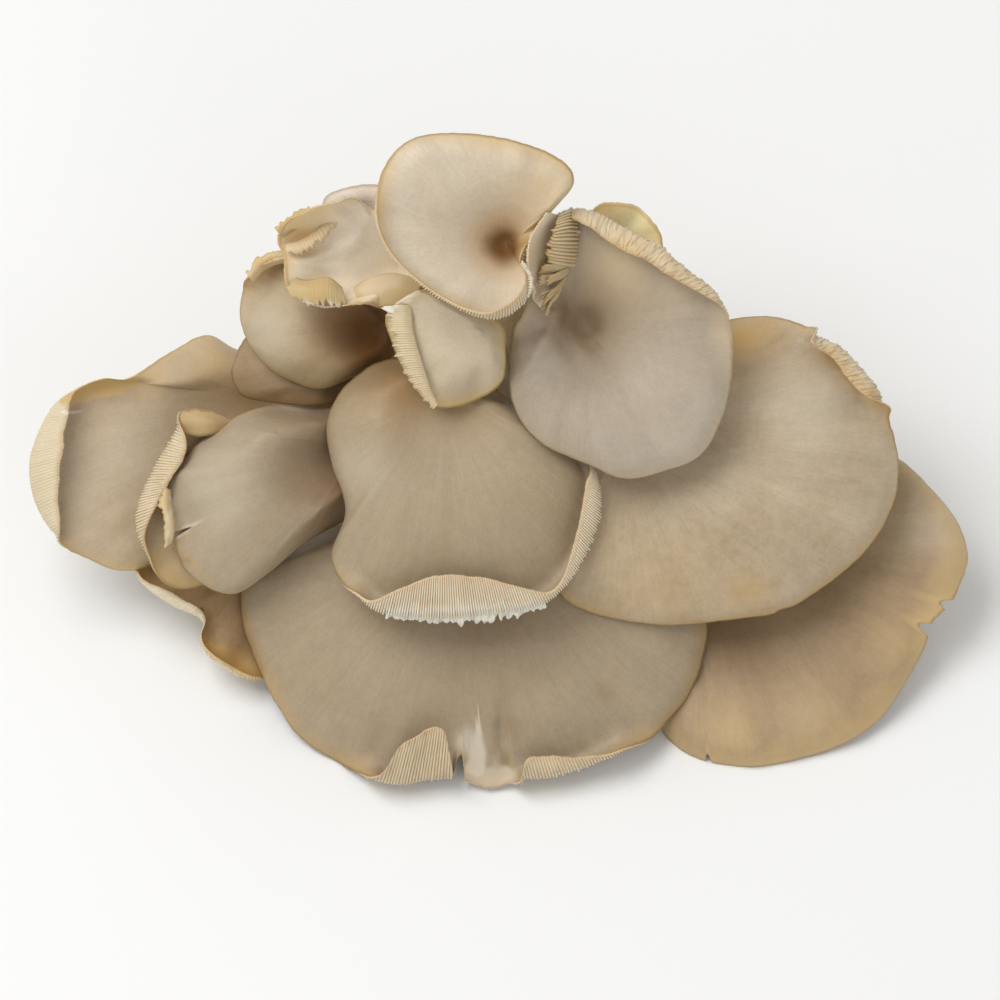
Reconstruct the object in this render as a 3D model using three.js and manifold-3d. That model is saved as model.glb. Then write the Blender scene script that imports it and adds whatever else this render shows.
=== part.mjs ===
// Oyster mushroom cluster: sixteen mushrooms that grew as one bunch from a root clump, which is cut flat
// underneath and lies on the table. Millimetres, +Z up.
// Each cap is laid out in the face of the cluster, a plane that leans back from the table:
// u runs to the right, v up the face and w straight out of it.
import * as THREE from "three";
import Module from "manifold-3d";

const wasm = await Module();
wasm.setup();

// Driving dimensions
const FACE_TILT = 30; // degrees between the face and the table
const FACE_HEIGHT = 60.5; // height of the face's middle above the table
const CENTRE = new THREE.Vector3(-0.5, -0.8, 0); // middle of the whole bunch, seen from above
const GAP = 0.35; // clearance between neighbours
const FLAT_SHARE = 0.8; // share of a cap's rings that lie inside its rolled rim
const ROLL_LENGTH = 8; // length of skin in a rolled rim, where the rim's point gives no length of its own
const BEND_LENGTH = 7; // part of that length that curls; the rest goes on straight
const ROLL_SPAN_SHARE = 0.5; // most of a cap's reach that its roll may take
const ROLL_PASSES = 3; // the rolled rim is set back this many times until it ends at the rim's point
const ROLL_STEP = 0.1;
const FLESH_AT_EYE = 5;
const FLESH_AT_RIM = 0.95;
const FLESH_POWER = 1.6; // how fast the flesh thins from eye to rim
const GILL_DEPTH = 2.6; // deepest part of a gill, halfway out
const GILL_DEPTH_AT_RIM = 0.7;
const GILL_POWER = 0.8; // how far in a gill is deepest
const SHORT_COLUMN = 30; // a cap shorter than this from eye to rim arches less
const SMALL_STEP = 0.01; // for slopes, and the smallest turn of a rim
const STEM_SIDES = 8;
const STEM_STEPS = 6;
const STEM_SUNK = 2; // how far below the cap's dip a stem begins
const STEM_PULL = 0.35; // share of a stem's length that leaves cap and foot straight
const STEM_FLARE = 0.7; // how much wider a stem is under the cap
const STEM_FLARE_POWER = 4;
const STEM_FOOT_SWELL = 0.15;
const ROLL_RING = 0.91; // the ring that lies where a curled rim reaches furthest out
const FURTHEST_OUT = 0.6; // share of the bend at which it does
const TOP_RINGS = [0.24, 0.52, FLAT_SHARE, ROLL_RING, 1];
const UNDER_RINGS = [0.35, FLAT_SHARE, ROLL_RING, 1];
const FALL_POWER = 1.4; // how late a cap starts to fall or rise from its eye to its rim
const CROWN_POWER = 1.5; // how far out its arch is highest
const RIM_SAMPLES = 24; // samples between two rim points when the rim is measured
const CAP_ROUGHNESS = 0.62;
const CLUMP_ROUGHNESS = 0.8;
const CLUMP_COLOUR = "#d9ccb2";

// Root clump, in the table's directions
const CLUMP = {
  centre: [2, 25.5],
  halfWidth: 35,
  halfDepth: 32,
  height: 56,
  lean: 12,
  lobes: [[3, 0.07, 0.6], [5, 0.045, 2.1], [8, 0.025, 4]], // how many, how far out, turned by
  profile: [[0, 0.93], [0.1, 1], [0.3, 0.96], [0.55, 0.8], [0.78, 0.57], [0.94, 0.3]], // level, width
  columns: 28,
};

// Mushrooms, the ones in front first.
// eye: where the stem meets the cap, on the face (u, v, w). foot: the stem's end in the root clump (x, y, z).
// rim: points round the cap's edge, [u, v, w, lip, roll], where lip is the angle in degrees that the very
// edge ends at: below zero it is turned down, above 90 it is curled up and over and bares the gills.
// roll is the length of skin in the rolled rim, ROLL_LENGTH where it isn't given.
// crown: how far the cap arches. funnel and funnelRadius: the dip over the stem. gills: how many.
const MUSHROOMS = [
  {
    name: "mushroom_top",
    colour: "#cfbd9f",
    eye: [1.5, 54, 24],
    foot: [5, 36, 45],
    crown: 2,
    funnel: 6,
    funnelRadius: 10,
    gills: 30,
    stem: 4.6,
    rim: [
      [-9, 81, 33, -40], [-21, 80, 34, -50], [-27.5, 74.5, 35, -30], [-31, 66, 36, 30],
      [-31.5, 59, 36, 60], [-28, 51, 36, 70], [-20, 43, 36, 75], [-10, 37, 36, 80],
      [-1, 35, 35, 110, 9], [5.5, 38.5, 34, 130, 11], [7.4, 44, 32, 140, 10], [5.4, 49.5, 30, 90],
      [9, 57, 27, 0], [13, 62, 28, -20], [18.4, 69, 31, -30], [15, 74.5, 32, -30], [4, 79, 33, -40],
    ],
  },
  {
    name: "mushroom_upper_right",
    colour: "#c6b49b",
    eye: [21, 34, 8],
    foot: [15, 26, 37],
    crown: 3,
    funnel: 7,
    funnelRadius: 12,
    gills: 30,
    stem: 5,
    rim: [
      [11, 60, 15, 60], [16, 62.5, 16, 120], [22.5, 62.5, 18, 150, 9.5], [32.5, 57, 18, 155, 10],
      [40, 53.5, 18, 155, 10], [46, 48, 17, 150, 9.5], [54, 42, 16, 140, 9], [57.5, 35, 15, 50],
      [57.5, 20, 14, -50], [54.5, 9, 13, -60], [49.5, 1, 12, -70], [40, -2.7, 12, -70],
      [31, -4.5, 12, -70], [22.5, -1, 13, -60], [11, 4, 13, -60], [4.7, 11, 12, -60],
      [2.6, 19, 11, -50], [2.9, 30, 11, -40], [6, 37, 12, 10], [8.5, 46, 13, 70], [9.5, 54, 14, 70],
    ],
  },
  {
    name: "mushroom_tongue",
    colour: "#cdb993",
    eye: [-5, 32, 19],
    foot: [5, 26, 42],
    crown: 1.5,
    funnel: 2,
    funnelRadius: 6,
    gills: 18,
    stem: 3.8,
    rim: [
      [-20.5, 42.5, 22, 30], [-24.5, 40, 22, 20], [-28.5, 36, 21, -20], [-27.5, 31.5, 20, -50],
      [-25, 25, 19, -62], [-21, 18, 17, -62], [-16, 13.3, 16, -55], [-7.5, 14.5, 15, -40],
      [0, 19, 15, -50], [1.2, 23, 15, -50], [1.1, 28, 15, -40], [0.5, 33.5, 14, -20], [-6, 38, 15, -20],
      [-14, 41.5, 18, 0],
    ],
  },
  {
    name: "mushroom_ruffled",
    colour: "#d8c8ae",
    eye: [-25, 48.5, 11],
    foot: [-6, 38, 41],
    crown: 0,
    funnel: 5,
    funnelRadius: 9,
    gills: 24,
    stem: 4,
    rim: [
      [-56, 55, 20, 40, 6], [-54, 59.5, 23, 80, 7], [-48, 62.5, 26, 95, 8], [-42, 64.5, 25, 95, 8],
      [-37, 66, 22, 60, 7], [-31, 62, 18, 0], [-22, 58, 16, -20], [-17, 51, 15, -20],
      [-19, 44.5, 17, -30], [-25, 40.5, 18, -30], [-28.5, 38, 16.5, -20], [-33, 38.5, 19.5, 30],
      [-39, 38, 18, 70, 6], [-45, 37.7, 19, 85, 6], [-51, 40, 20, 85, 6], [-54.6, 45.5, 21, 50, 5],
      [-53.4, 50, 20, 10, 5],
    ],
  },
  {
    name: "mushroom_centre",
    colour: "#c7b491",
    eye: [-14, 17, 5],
    foot: [-6, 19, 38],
    crown: 5,
    funnel: 0,
    funnelRadius: 9,
    gills: 34,
    stem: 5.2,
    rim: [
      [-37, 20, 4, -50], [-41.5, 14, 3, -70], [-43.2, 7.5, 2, -80], [-41.5, -2, 2, -80],
      [-39.2, -8, 2, -80], [-38.7, -14, 1, -80], [-42, -22.5, 0, -60], [-41.5, -27, 0, -40],
      [-38.5, -32, 0, 20], [-34, -36, 0, 90], [-27.5, -38.5, 1, 130, 14], [-15, -39.7, 2, 145, 18],
      [0, -38.5, 2, 142, 16], [9, -36.5, 2, 135, 11], [14.5, -33.5, 1, 110], [20, -26, 1, 130, 10],
      [24, -16, 1, 140, 11], [25, -8, 1, 140, 10], [23, -1, 0, 80], [17, 5, 0, -30], [8, 12, 1, -40],
      [2, 15, 1, -40], [-4, 20, 2, -40], [-14, 23.5, 3, -40], [-28, 25, 4, -40],
    ],
  },
  {
    name: "mushroom_left_front",
    colour: "#c9b693",
    eye: [-36, 3, -13],
    foot: [-18, 14, 24],
    crown: 11,
    funnel: 0,
    funnelRadius: 8,
    gills: 24,
    stem: 4.4,
    rim: [
      [-84.2, -6, -7, -50], [-80, -1, -6, -60], [-75, 4.5, -6, -60], [-66, 10.8, -7, -60],
      [-58, 13.5, -9, -50], [-50, 14.3, -12, -40], [-40, 15, -14, -30], [-30, 10, -16, -30],
      [-28, 0, -16, -40], [-32, -11, -15, -50], [-43, -17, -13, -60], [-50, -21.5, -11, -70],
      [-59, -29, -9, -80], [-67, -33.5, -8, -80], [-75, -30.5, -8, -70], [-80, -25.5, -8, -50],
      [-81.5, -18, -8, -20],
    ],
  },
  {
    name: "mushroom_upper_left",
    colour: "#c8b184",
    eye: [-31, 32, -3],
    foot: [-12, 28, 36],
    crown: 9,
    funnel: 2,
    funnelRadius: 8,
    gills: 22,
    stem: 4.2,
    rim: [
      [-59, 50.5, 5, 110, 10], [-63, 46, 3, 40], [-64.5, 42, 1, -50], [-64.5, 34, 0, -70],
      [-61, 27, 0, -80], [-55, 21.5, 0, -80], [-45, 18, -1, -80], [-37, 21, -3, -70],
      [-30, 24, -4, -60], [-26, 28, -4, -50], [-26, 35, -4, -40], [-32, 42, -2, -30], [-42, 49, 2, 0],
      [-52, 53, 5, 110, 10],
    ],
  },
  {
    name: "mushroom_behind_dome",
    colour: "#bda383",
    eye: [-44, 23, -13],
    foot: [-22, 29, 26],
    crown: 5,
    funnel: 1,
    funnelRadius: 6,
    gills: 16,
    stem: 3.4,
    rim: [
      [-63, 31, -10, -30], [-66, 26, -10, -60], [-67, 22, -10, -60], [-65, 16.5, -10, -60],
      [-56, 14.5, -10, -60], [-46, 14, -11, -50], [-39, 16.5, -12, -40], [-37, 26, -14, -30],
      [-44, 33, -13, -30], [-54, 34.5, -11, -30],
    ],
  },
  {
    name: "mushroom_right",
    colour: "#c9b48c",
    eye: [30, 7, -9],
    foot: [23, 14, 23],
    crown: 7,
    funnel: 1,
    funnelRadius: 9,
    gills: 34,
    stem: 5.2,
    rim: [
      [57.5, 34.8, -6, -40], [67.5, 35.6, -7, -50], [76, 33.5, -8, -10], [80.5, 31, -8, 115, 11],
      [86.5, 27, -9, 140, 10], [95, 17, -10, 130, 11], [97.3, 9.5, -11, -30], [99.2, 0, -12, -60],
      [98.2, -10, -12, -70], [93, -20, -11, -70], [85, -28, -10, -70], [71, -37, -8, -70],
      [57.5, -39.3, -7, -70], [42.5, -40.7, -7, -70], [30, -39.3, -6, -70], [20, -36.5, -5, -60],
      [15, -32, -6, -50], [17, -22, -5, -50], [18, -8, -6, -40], [20, 6, -9, -30], [30, 20, -11, -30],
      [44, 30, -8, -40],
    ],
  },
  {
    name: "mushroom_left_behind",
    colour: "#cdb88f",
    eye: [-60, -3, -20],
    foot: [-22, 9, 15],
    crown: 1,
    funnel: 0,
    funnelRadius: 8,
    gills: 24,
    stem: 3.8,
    rim: [
      [-80.5, 12.3, -14, 30], [-73, 12.5, -16, -20], [-67, 9.5, -18, -40], [-61, 5, -20, -40],
      [-55, -2, -21, -40], [-56, -12, -22, -40], [-62, -24, -22, -40], [-73, -30.5, -19, -40],
      [-80, -32.3, -18, -40], [-85.5, -29.5, -17, 0], [-89.8, -22, -16, 90], [-91.3, -14, -15, 140, 11],
      [-89, -7, -15.5, 140, 12], [-85.3, 0.5, -15.5, 140, 12], [-81.5, 7, -15, 120, 10],
    ],
  },
  {
    name: "mushroom_bottom",
    colour: "#c8b390",
    eye: [-8, -14, -16],
    foot: [0, 4, 20],
    crown: 5,
    funnel: 1,
    funnelRadius: 10,
    gills: 38,
    stem: 5.4,
    rim: [
      [-62, -28, -22, -60], [-64.7, -36, -23, -70], [-62.5, -46, -23, -70], [-57.5, -57.5, -22, -70],
      [-50, -69, -21, -60], [-39, -76.2, -20, -40], [-31, -80.3, -19, 90, 10], [-28, -81, -19, 138, 17],
      [-23, -80.5, -19, 142, 21], [-16, -79.3, -19, 142, 21], [-12.5, -79.8, -19, 138, 19],
      [-8, -81, -19, 125, 14], [0, -82, -19, 110, 10], [6, -80, -19, 135, 12],
      [14, -78.8, -19, 140, 11], [22.5, -76.3, -19, 125, 9], [35, -71.3, -19, 30],
      [41.5, -65.5, -19, -60], [47.5, -57.5, -19, -60], [51.3, -45, -19, -60], [50, -34, -20, -50],
      [40, -19, -20, -40], [18, -7, -20, -40], [-8, -4, -20, -40], [-30, -12, -22, -40],
      [-50, -21, -22, -50],
    ],
  },
  {
    name: "mushroom_far_left",
    colour: "#ccb98f",
    eye: [-57, 15, -35],
    foot: [-26, 20, 19],
    crown: 3,
    funnel: 0,
    funnelRadius: 8,
    gills: 30,
    stem: 4.4,
    rim: [
      [-65.5, 27, -33, -50], [-73, 31, -31, -50], [-81, 27.5, -28, -50], [-89, 22.5, -25, 10],
      [-94.5, 20.3, -24, 100, 8], [-100, 20.5, -24, 130, 11], [-106, 18, -24, 136, 12],
      [-112, 13.5, -24, 140, 12], [-116, 5.5, -24, 142, 14], [-117.8, -1, -24, 145, 15],
      [-116.5, -10, -24, 140, 13], [-112.5, -17.5, -23, 120, 10], [-110, -21, -23, 50],
      [-105, -23.3, -23, -40], [-96, -27, -24, -60], [-87.5, -26, -26, -60], [-76, -18, -30, -40],
      [-68, -5, -33, -40], [-60, 4, -35, -40], [-52, 8, -36, -30], [-50, 16, -36, -30],
      [-56, 24, -33, -40],
    ],
  },
  {
    name: "mushroom_far_right",
    colour: "#ccb07f",
    eye: [48, -14, -37],
    foot: [22, 5, 12],
    crown: 3,
    funnel: 1,
    funnelRadius: 8,
    gills: 34,
    stem: 4.8,
    rim: [
      [92, 3, -31, -40], [100, 0, -29, -50], [107.5, -7, -28, -60], [114, -15, -27, -60],
      [117, -24, -27, -60], [115, -31, -27, -50], [112.5, -36, -26, -20], [107.3, -41, -26, -10],
      [107, -45, -26, -40], [101, -56, -25, -60], [95, -64.5, -24, -60], [86, -70.7, -23, -60],
      [75, -74.3, -22, -60], [64, -76.3, -21.5, -60], [52, -75, -22, -60], [44, -71, -25, -50],
      [40, -65, -28, -40], [39, -52, -34, -40], [40, -34, -36, -40], [41, -18, -39, -30],
      [44, -8, -40, -30], [54, -3, -39, -30], [72, 2, -36, -40],
    ],
  },
  {
    name: "mushroom_small_yellow",
    colour: "#d3bb84",
    eye: [29, 52, 0],
    foot: [17, 41, 32],
    crown: 2,
    funnel: 0,
    funnelRadius: 5,
    gills: 16,
    stem: 3.2,
    rim: [
      [24.5, 64, 7, 30], [32.5, 64.3, 7, 40], [37.5, 60.8, 7, 30], [40.5, 54, 6, -20], [38, 47, 3, -20],
      [30, 44.5, 0, -20], [22, 48, 0, -20], [21, 57, 4, -10],
    ],
  },
  {
    name: "mushroom_small_pink",
    colour: "#cdb6a2",
    eye: [-33, 59, 3],
    foot: [-14, 45, 28],
    crown: 2,
    funnel: 0,
    funnelRadius: 5,
    gills: 16,
    stem: 3.2,
    rim: [
      [-43.5, 65.5, 8, -30], [-39, 67.5, 9, -40], [-31, 68.5, 9, -40], [-25, 65, 8, -30],
      [-24, 58, 4, -20], [-30, 53, 1, -20], [-38, 54, 3, -20], [-44, 60, 6, -20],
    ],
  },
  {
    name: "mushroom_low_left",
    colour: "#bb9f78",
    eye: [-51, -18, -39],
    foot: [-12, -1, 7],
    crown: 3,
    funnel: 0,
    funnelRadius: 8,
    gills: 22,
    stem: 3.6,
    rim: [
      [-92, -27.5, -33, 60], [-87.5, -33, -32, 130, 9], [-80, -37.5, -31, 132, 9],
      [-74.5, -40, -31, 110, 8], [-75.5, -45, -31, 70], [-72.5, -50, -31, 100, 9],
      [-65, -54.5, -32, 100, 9], [-59, -55, -34, 60], [-53, -48, -36, -40], [-48, -34, -38, -40],
      [-45, -22, -41, -40], [-51, -11, -42, -30], [-66, -14, -40, -30], [-82, -22, -35, -20],
    ],
  },
];

// Rim: a closed smooth curve through its points, each five numbers
function rimAt(points, share) {
  const place = share * points.length;
  const first = Math.floor(place);
  const f = place - first;
  const near = [-1, 0, 1, 2].map((step) => points[(first + step + points.length) % points.length]);
  return near[0].map((_, k) => {
    const [a, b, c, d] = near.map((point) => point[k]);
    const bend = 2 * a - 5 * b + 4 * c - d;
    const twist = 3 * b - a - 3 * c + d;
    return 0.5 * (2 * b + (c - a) * f + bend * f * f + twist * f * f * f);
  });
}

// Columns: the rim shared out in equal lengths, one place for each edge and each root of a gill
function rimColumns(points, count) {
  const samples = points.length * RIM_SAMPLES;
  const run = [0];
  let last = rimAt(points, 0);
  for (let i = 1; i <= samples; i++) {
    const next = rimAt(points, (i % samples) / samples);
    run.push(run[i - 1] + Math.hypot(next[0] - last[0], next[1] - last[1]));
    last = next;
  }
  const columns = [];
  let i = 0;
  for (let k = 0; k < count; k++) {
    const target = (run[samples] * k) / count;
    while (run[i + 1] < target) i++;
    const part = (target - run[i]) / (run[i + 1] - run[i]);
    columns.push(rimAt(points, (i + part) / samples));
  }
  return columns;
}

// Section: the skin of a cap from its eye out to one rim point, as a function of the ring's share.
// It gives the distance from the eye, the height on the face and the slope of the skin.
function capSection(cap, edge) {
  const [u, v, rimHeight, lipAngle, rollLength] = edge;
  const span = Math.hypot(u - cap.eye[0], v - cap.eye[1]);
  const roll = Math.min(rollLength, ROLL_SPAN_SHARE * span);
  const bend = Math.min(roll, BEND_LENGTH);
  const lip = THREE.MathUtils.degToRad(lipAngle);
  const crown = cap.crown * Math.min(1, span / SHORT_COLUMN);
  let flat = span - bend;
  const height = (q) => {
    const dip = cap.funnel * Math.exp(-((q * flat / cap.funnelRadius) ** 2)) * (1 - q * q);
    const fall = (rimHeight - cap.eye[2]) * q ** FALL_POWER;
    return cap.eye[2] + fall + crown * Math.sin(Math.PI * q ** CROWN_POWER) - dip;
  };
  const slopeAt = (q) => Math.atan2(height(q) - height(q - SMALL_STEP), SMALL_STEP * flat);
  const rolled = (t) => {
    const start = slopeAt(1);
    const turn = Math.abs(lip - start) < SMALL_STEP ? SMALL_STEP : lip - start;
    const bent = Math.min(rollRun(t, bend, roll), bend);
    const straight = rollRun(t, bend, roll) - bent;
    const slope = start + (turn * bent) / bend;
    const out = (bend * (Math.sin(slope) - Math.sin(start))) / turn + straight * Math.cos(lip);
    const up = (bend * (Math.cos(start) - Math.cos(slope))) / turn + straight * Math.sin(lip);
    return { out: flat + out, up: height(1) + up, slope };
  };
  for (let pass = 0; pass < ROLL_PASSES; pass++) {
    let reach = 0;
    for (let t = ROLL_STEP; t < 1 + ROLL_STEP / 2; t += ROLL_STEP) {
      const at = rolled(t);
      const share = FLAT_SHARE + (1 - FLAT_SHARE) * t;
      const under = at.out + (fleshAt(share) + gillAt(share)) * Math.sin(at.slope);
      reach = Math.max(reach, at.out - flat, under - flat);
    }
    flat = span - reach;
  }
  return (share) => {
    if (share > FLAT_SHARE) return rolled((share - FLAT_SHARE) / (1 - FLAT_SHARE));
    const q = share / FLAT_SHARE;
    return { out: q * flat, up: height(q), slope: slopeAt(Math.max(SMALL_STEP, q)) };
  };
}

// Run: how far along its skin a rolled rim is at a share of its rings
function rollRun(t, bend, roll) {
  const middle = (ROLL_RING - FLAT_SHARE) / (1 - FLAT_SHARE);
  const furthest = FURTHEST_OUT * bend;
  if (t < middle) return (t / middle) * furthest;
  return furthest + ((t - middle) / (1 - middle)) * (roll - furthest);
}

function fleshAt(share) {
  return FLESH_AT_RIM + (FLESH_AT_EYE - FLESH_AT_RIM) * (1 - Math.min(share, 1)) ** FLESH_POWER;
}

function gillAt(share) {
  const arch = Math.sin(Math.PI * Math.min(1, share) ** GILL_POWER);
  return GILL_DEPTH_AT_RIM + (GILL_DEPTH - GILL_DEPTH_AT_RIM) * arch;
}

// Cap: skin on top, gills as deep folds underneath, closed round the rim
function capSolid(cap, extra) {
  const rim = cap.rim.map(([u, v, w, lip, roll = ROLL_LENGTH]) => [u, v, w, lip, roll]);
  const columns = rimColumns(rim, cap.gills * 2);
  const sections = columns.map((edge) => capSection(cap, edge));
  const positions = [];
  const triangles = [];
  const place = (column, out, up) => {
    const du = columns[column][0] - cap.eye[0];
    const dv = columns[column][1] - cap.eye[1];
    const span = Math.hypot(du, dv);
    positions.push(cap.eye[0] + (du / span) * out, cap.eye[1] + (dv / span) * out, up);
    return positions.length / 3 - 1;
  };
  const middle = sections[0](0);
  const topMiddle = place(0, 0, middle.up + extra);
  const underMiddle = place(0, 0, middle.up - fleshAt(0) - extra);
  const top = TOP_RINGS.map((share) => {
    const ring = [];
    for (let k = 0; k < columns.length; k += 2) {
      const at = sections[k](share);
      const lean = Math.min(1, at.out / cap.stem);
      ring.push(place(k, at.out - extra * Math.sin(at.slope) * lean, at.up + extra * Math.cos(at.slope)));
    }
    return ring;
  });
  const under = UNDER_RINGS.map((share) =>
    columns.map((_, k) => {
      const at = sections[k](share);
      const lean = Math.min(1, at.out / cap.stem);
      const deep = fleshAt(share) + (k % 2 ? gillAt(share) : 0) + extra;
      return place(k, at.out + deep * Math.sin(at.slope) * lean, at.up - deep * Math.cos(at.slope));
    }));
  const band = (inner, outer, flip) => {
    for (let k = 0; k < inner.length; k++) {
      const next = (k + 1) % inner.length;
      const corners = [inner[k], outer[k], outer[next], inner[next]];
      if (flip) corners.reverse();
      triangles.push(corners[0], corners[1], corners[2], corners[0], corners[2], corners[3]);
    }
  };
  for (let k = 0; k < top[0].length; k++) {
    triangles.push(topMiddle, top[0][k], top[0][(k + 1) % top[0].length]);
  }
  for (let k = 0; k < under[0].length; k++) {
    triangles.push(underMiddle, under[0][(k + 1) % under[0].length], under[0][k]);
  }
  for (let r = 1; r < top.length; r++) band(top[r - 1], top[r], false);
  for (let r = 1; r < under.length; r++) band(under[r - 1], under[r], true);
  const edgeTop = top[top.length - 1];
  const edgeUnder = under[under.length - 1];
  for (let k = 0; k < edgeTop.length; k++) {
    const next = (k + 1) % edgeTop.length;
    const low = [edgeUnder[2 * k], edgeUnder[2 * k + 1], edgeUnder[(2 * k + 2) % edgeUnder.length]];
    triangles.push(edgeTop[k], low[0], low[1]);
    triangles.push(edgeTop[k], low[1], edgeTop[next]);
    triangles.push(edgeTop[next], low[1], low[2]);
  }
  return solidFrom(positions, triangles);
}

// Stem: a tapered stalk on one curve, from inside the cap's flesh down into the root clump
function stemSolid(cap, extra) {
  const start = new THREE.Vector3(cap.eye[0], cap.eye[1], cap.eye[2] - cap.funnel - STEM_SUNK);
  const end = new THREE.Vector3(...cap.foot).applyMatrix4(faceToTable.clone().invert());
  const reach = start.distanceTo(end);
  const up = new THREE.Vector3(0, 0, 1).transformDirection(faceToTable.clone().invert());
  const rise = start.clone().sub(end).normalize().add(up).normalize();
  const curve = new THREE.CubicBezierCurve3(
    start,
    start.clone().add(new THREE.Vector3(0, 0, -STEM_PULL * reach)),
    end.clone().addScaledVector(rise, STEM_PULL * reach),
    end,
  );
  const frames = curve.computeFrenetFrames(STEM_STEPS, false);
  const positions = [];
  const triangles = [];
  for (let i = 0; i <= STEM_STEPS; i++) {
    const t = i / STEM_STEPS;
    const centre = curve.getPointAt(t);
    const flare = STEM_FLARE * (1 - t) ** STEM_FLARE_POWER + STEM_FOOT_SWELL * t ** 2;
    const radius = cap.stem * (1 + flare) + extra;
    for (let k = 0; k < STEM_SIDES; k++) {
      const turn = (2 * Math.PI * k) / STEM_SIDES;
      const point = centre.clone()
        .addScaledVector(frames.normals[i], radius * Math.cos(turn))
        .addScaledVector(frames.binormals[i], radius * Math.sin(turn));
      positions.push(...point.toArray());
    }
  }
  const ends = [0, STEM_STEPS].map((i) => {
    const way = i === 0 ? -extra : extra;
    const centre = curve.getPointAt(i / STEM_STEPS).addScaledVector(frames.tangents[i], way);
    positions.push(...centre.toArray());
    return positions.length / 3 - 1;
  });
  for (let k = 0; k < STEM_SIDES; k++) {
    const next = (k + 1) % STEM_SIDES;
    triangles.push(ends[0], next, k);
    const last = STEM_STEPS * STEM_SIDES;
    triangles.push(ends[1], last + k, last + next);
    for (let i = 0; i < STEM_STEPS; i++) {
      const a = i * STEM_SIDES;
      const b = a + STEM_SIDES;
      triangles.push(a + k, a + next, b + next, a + k, b + next, b + k);
    }
  }
  return solidFrom(positions, triangles);
}

// Root clump: a lumpy dome with a flat cut underneath
function clumpSolid() {
  const positions = [];
  const triangles = [];
  for (const [level, width] of CLUMP.profile) {
    for (let k = 0; k < CLUMP.columns; k++) {
      const turn = (2 * Math.PI * k) / CLUMP.columns;
      const swell = CLUMP.lobes.reduce((sum, [n, size, at]) => sum + size * Math.cos(n * turn + at), 1);
      positions.push(
        CLUMP.centre[0] + CLUMP.halfWidth * width * swell * Math.cos(turn),
        CLUMP.centre[1] + CLUMP.lean * level + CLUMP.halfDepth * width * swell * Math.sin(turn),
        CLUMP.height * level,
      );
    }
  }
  positions.push(CLUMP.centre[0], CLUMP.centre[1], 0);
  positions.push(CLUMP.centre[0], CLUMP.centre[1] + CLUMP.lean, CLUMP.height);
  const low = CLUMP.profile.length * CLUMP.columns;
  for (let k = 0; k < CLUMP.columns; k++) {
    const next = (k + 1) % CLUMP.columns;
    triangles.push(low, next, k);
    const last = (CLUMP.profile.length - 1) * CLUMP.columns;
    triangles.push(low + 1, last + k, last + next);
    for (let r = 1; r < CLUMP.profile.length; r++) {
      const a = (r - 1) * CLUMP.columns;
      const b = r * CLUMP.columns;
      triangles.push(a + k, a + next, b + next, a + k, b + next, b + k);
    }
  }
  return solidFrom(positions, triangles);
}

// Solids and meshes
function solidFrom(positions, triangles) {
  let volume = 0;
  for (let t = 0; t < triangles.length; t += 3) {
    const [a, b, c] = [0, 1, 2].map((k) => new THREE.Vector3().fromArray(positions, 3 * triangles[t + k]));
    volume += a.dot(b.cross(c));
  }
  const facingOut = volume > 0 ? triangles : triangles.slice().reverse();
  const mesh = new wasm.Mesh({
    numProp: 3,
    vertProperties: new Float32Array(positions),
    triVerts: new Uint32Array(facingOut),
  });
  return new wasm.Manifold(mesh);
}

function largestBody(solid) {
  const bodies = solid.decompose();
  return bodies.reduce((best, body) => (body.volume() > best.volume() ? body : best));
}

function meshOf(solid, name, colour, roughness) {
  const { vertProperties, triVerts } = solid.getMesh();
  const geometry = new THREE.BufferGeometry();
  geometry.setAttribute("position", new THREE.BufferAttribute(vertProperties, 3));
  geometry.setIndex(new THREE.BufferAttribute(triVerts, 1));
  geometry.computeVertexNormals();
  const material = new THREE.MeshStandardMaterial({ color: colour, roughness, metalness: 0 });
  const mesh = new THREE.Mesh(geometry, material);
  mesh.name = name;
  return mesh;
}

// Cluster: each mushroom makes way for those in front of it, and the root clump for every stem
const cluster = new THREE.Group();
cluster.position.copy(CENTRE).negate();
const face = new THREE.Group();
face.rotation.x = THREE.MathUtils.degToRad(FACE_TILT);
face.position.z = FACE_HEIGHT;
face.updateMatrix();
const faceToTable = face.matrix;
cluster.add(face);

let taken = null;
for (const cap of MUSHROOMS) {
  let solid = capSolid(cap, 0).add(stemSolid(cap, 0));
  const room = capSolid(cap, GAP).add(stemSolid(cap, GAP));
  if (taken) solid = largestBody(solid.subtract(taken));
  taken = taken ? taken.add(room) : room;
  face.add(meshOf(solid, cap.name, cap.colour, CAP_ROUGHNESS));
}
const clump = largestBody(clumpSolid().subtract(taken.transform(faceToTable.elements)));
cluster.add(meshOf(clump, "root_clump", CLUMP_COLOUR, CLUMP_ROUGHNESS));

export default cluster;
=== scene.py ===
import math
import bpy
import numpy as np
from mathutils import Matrix, Vector


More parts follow.
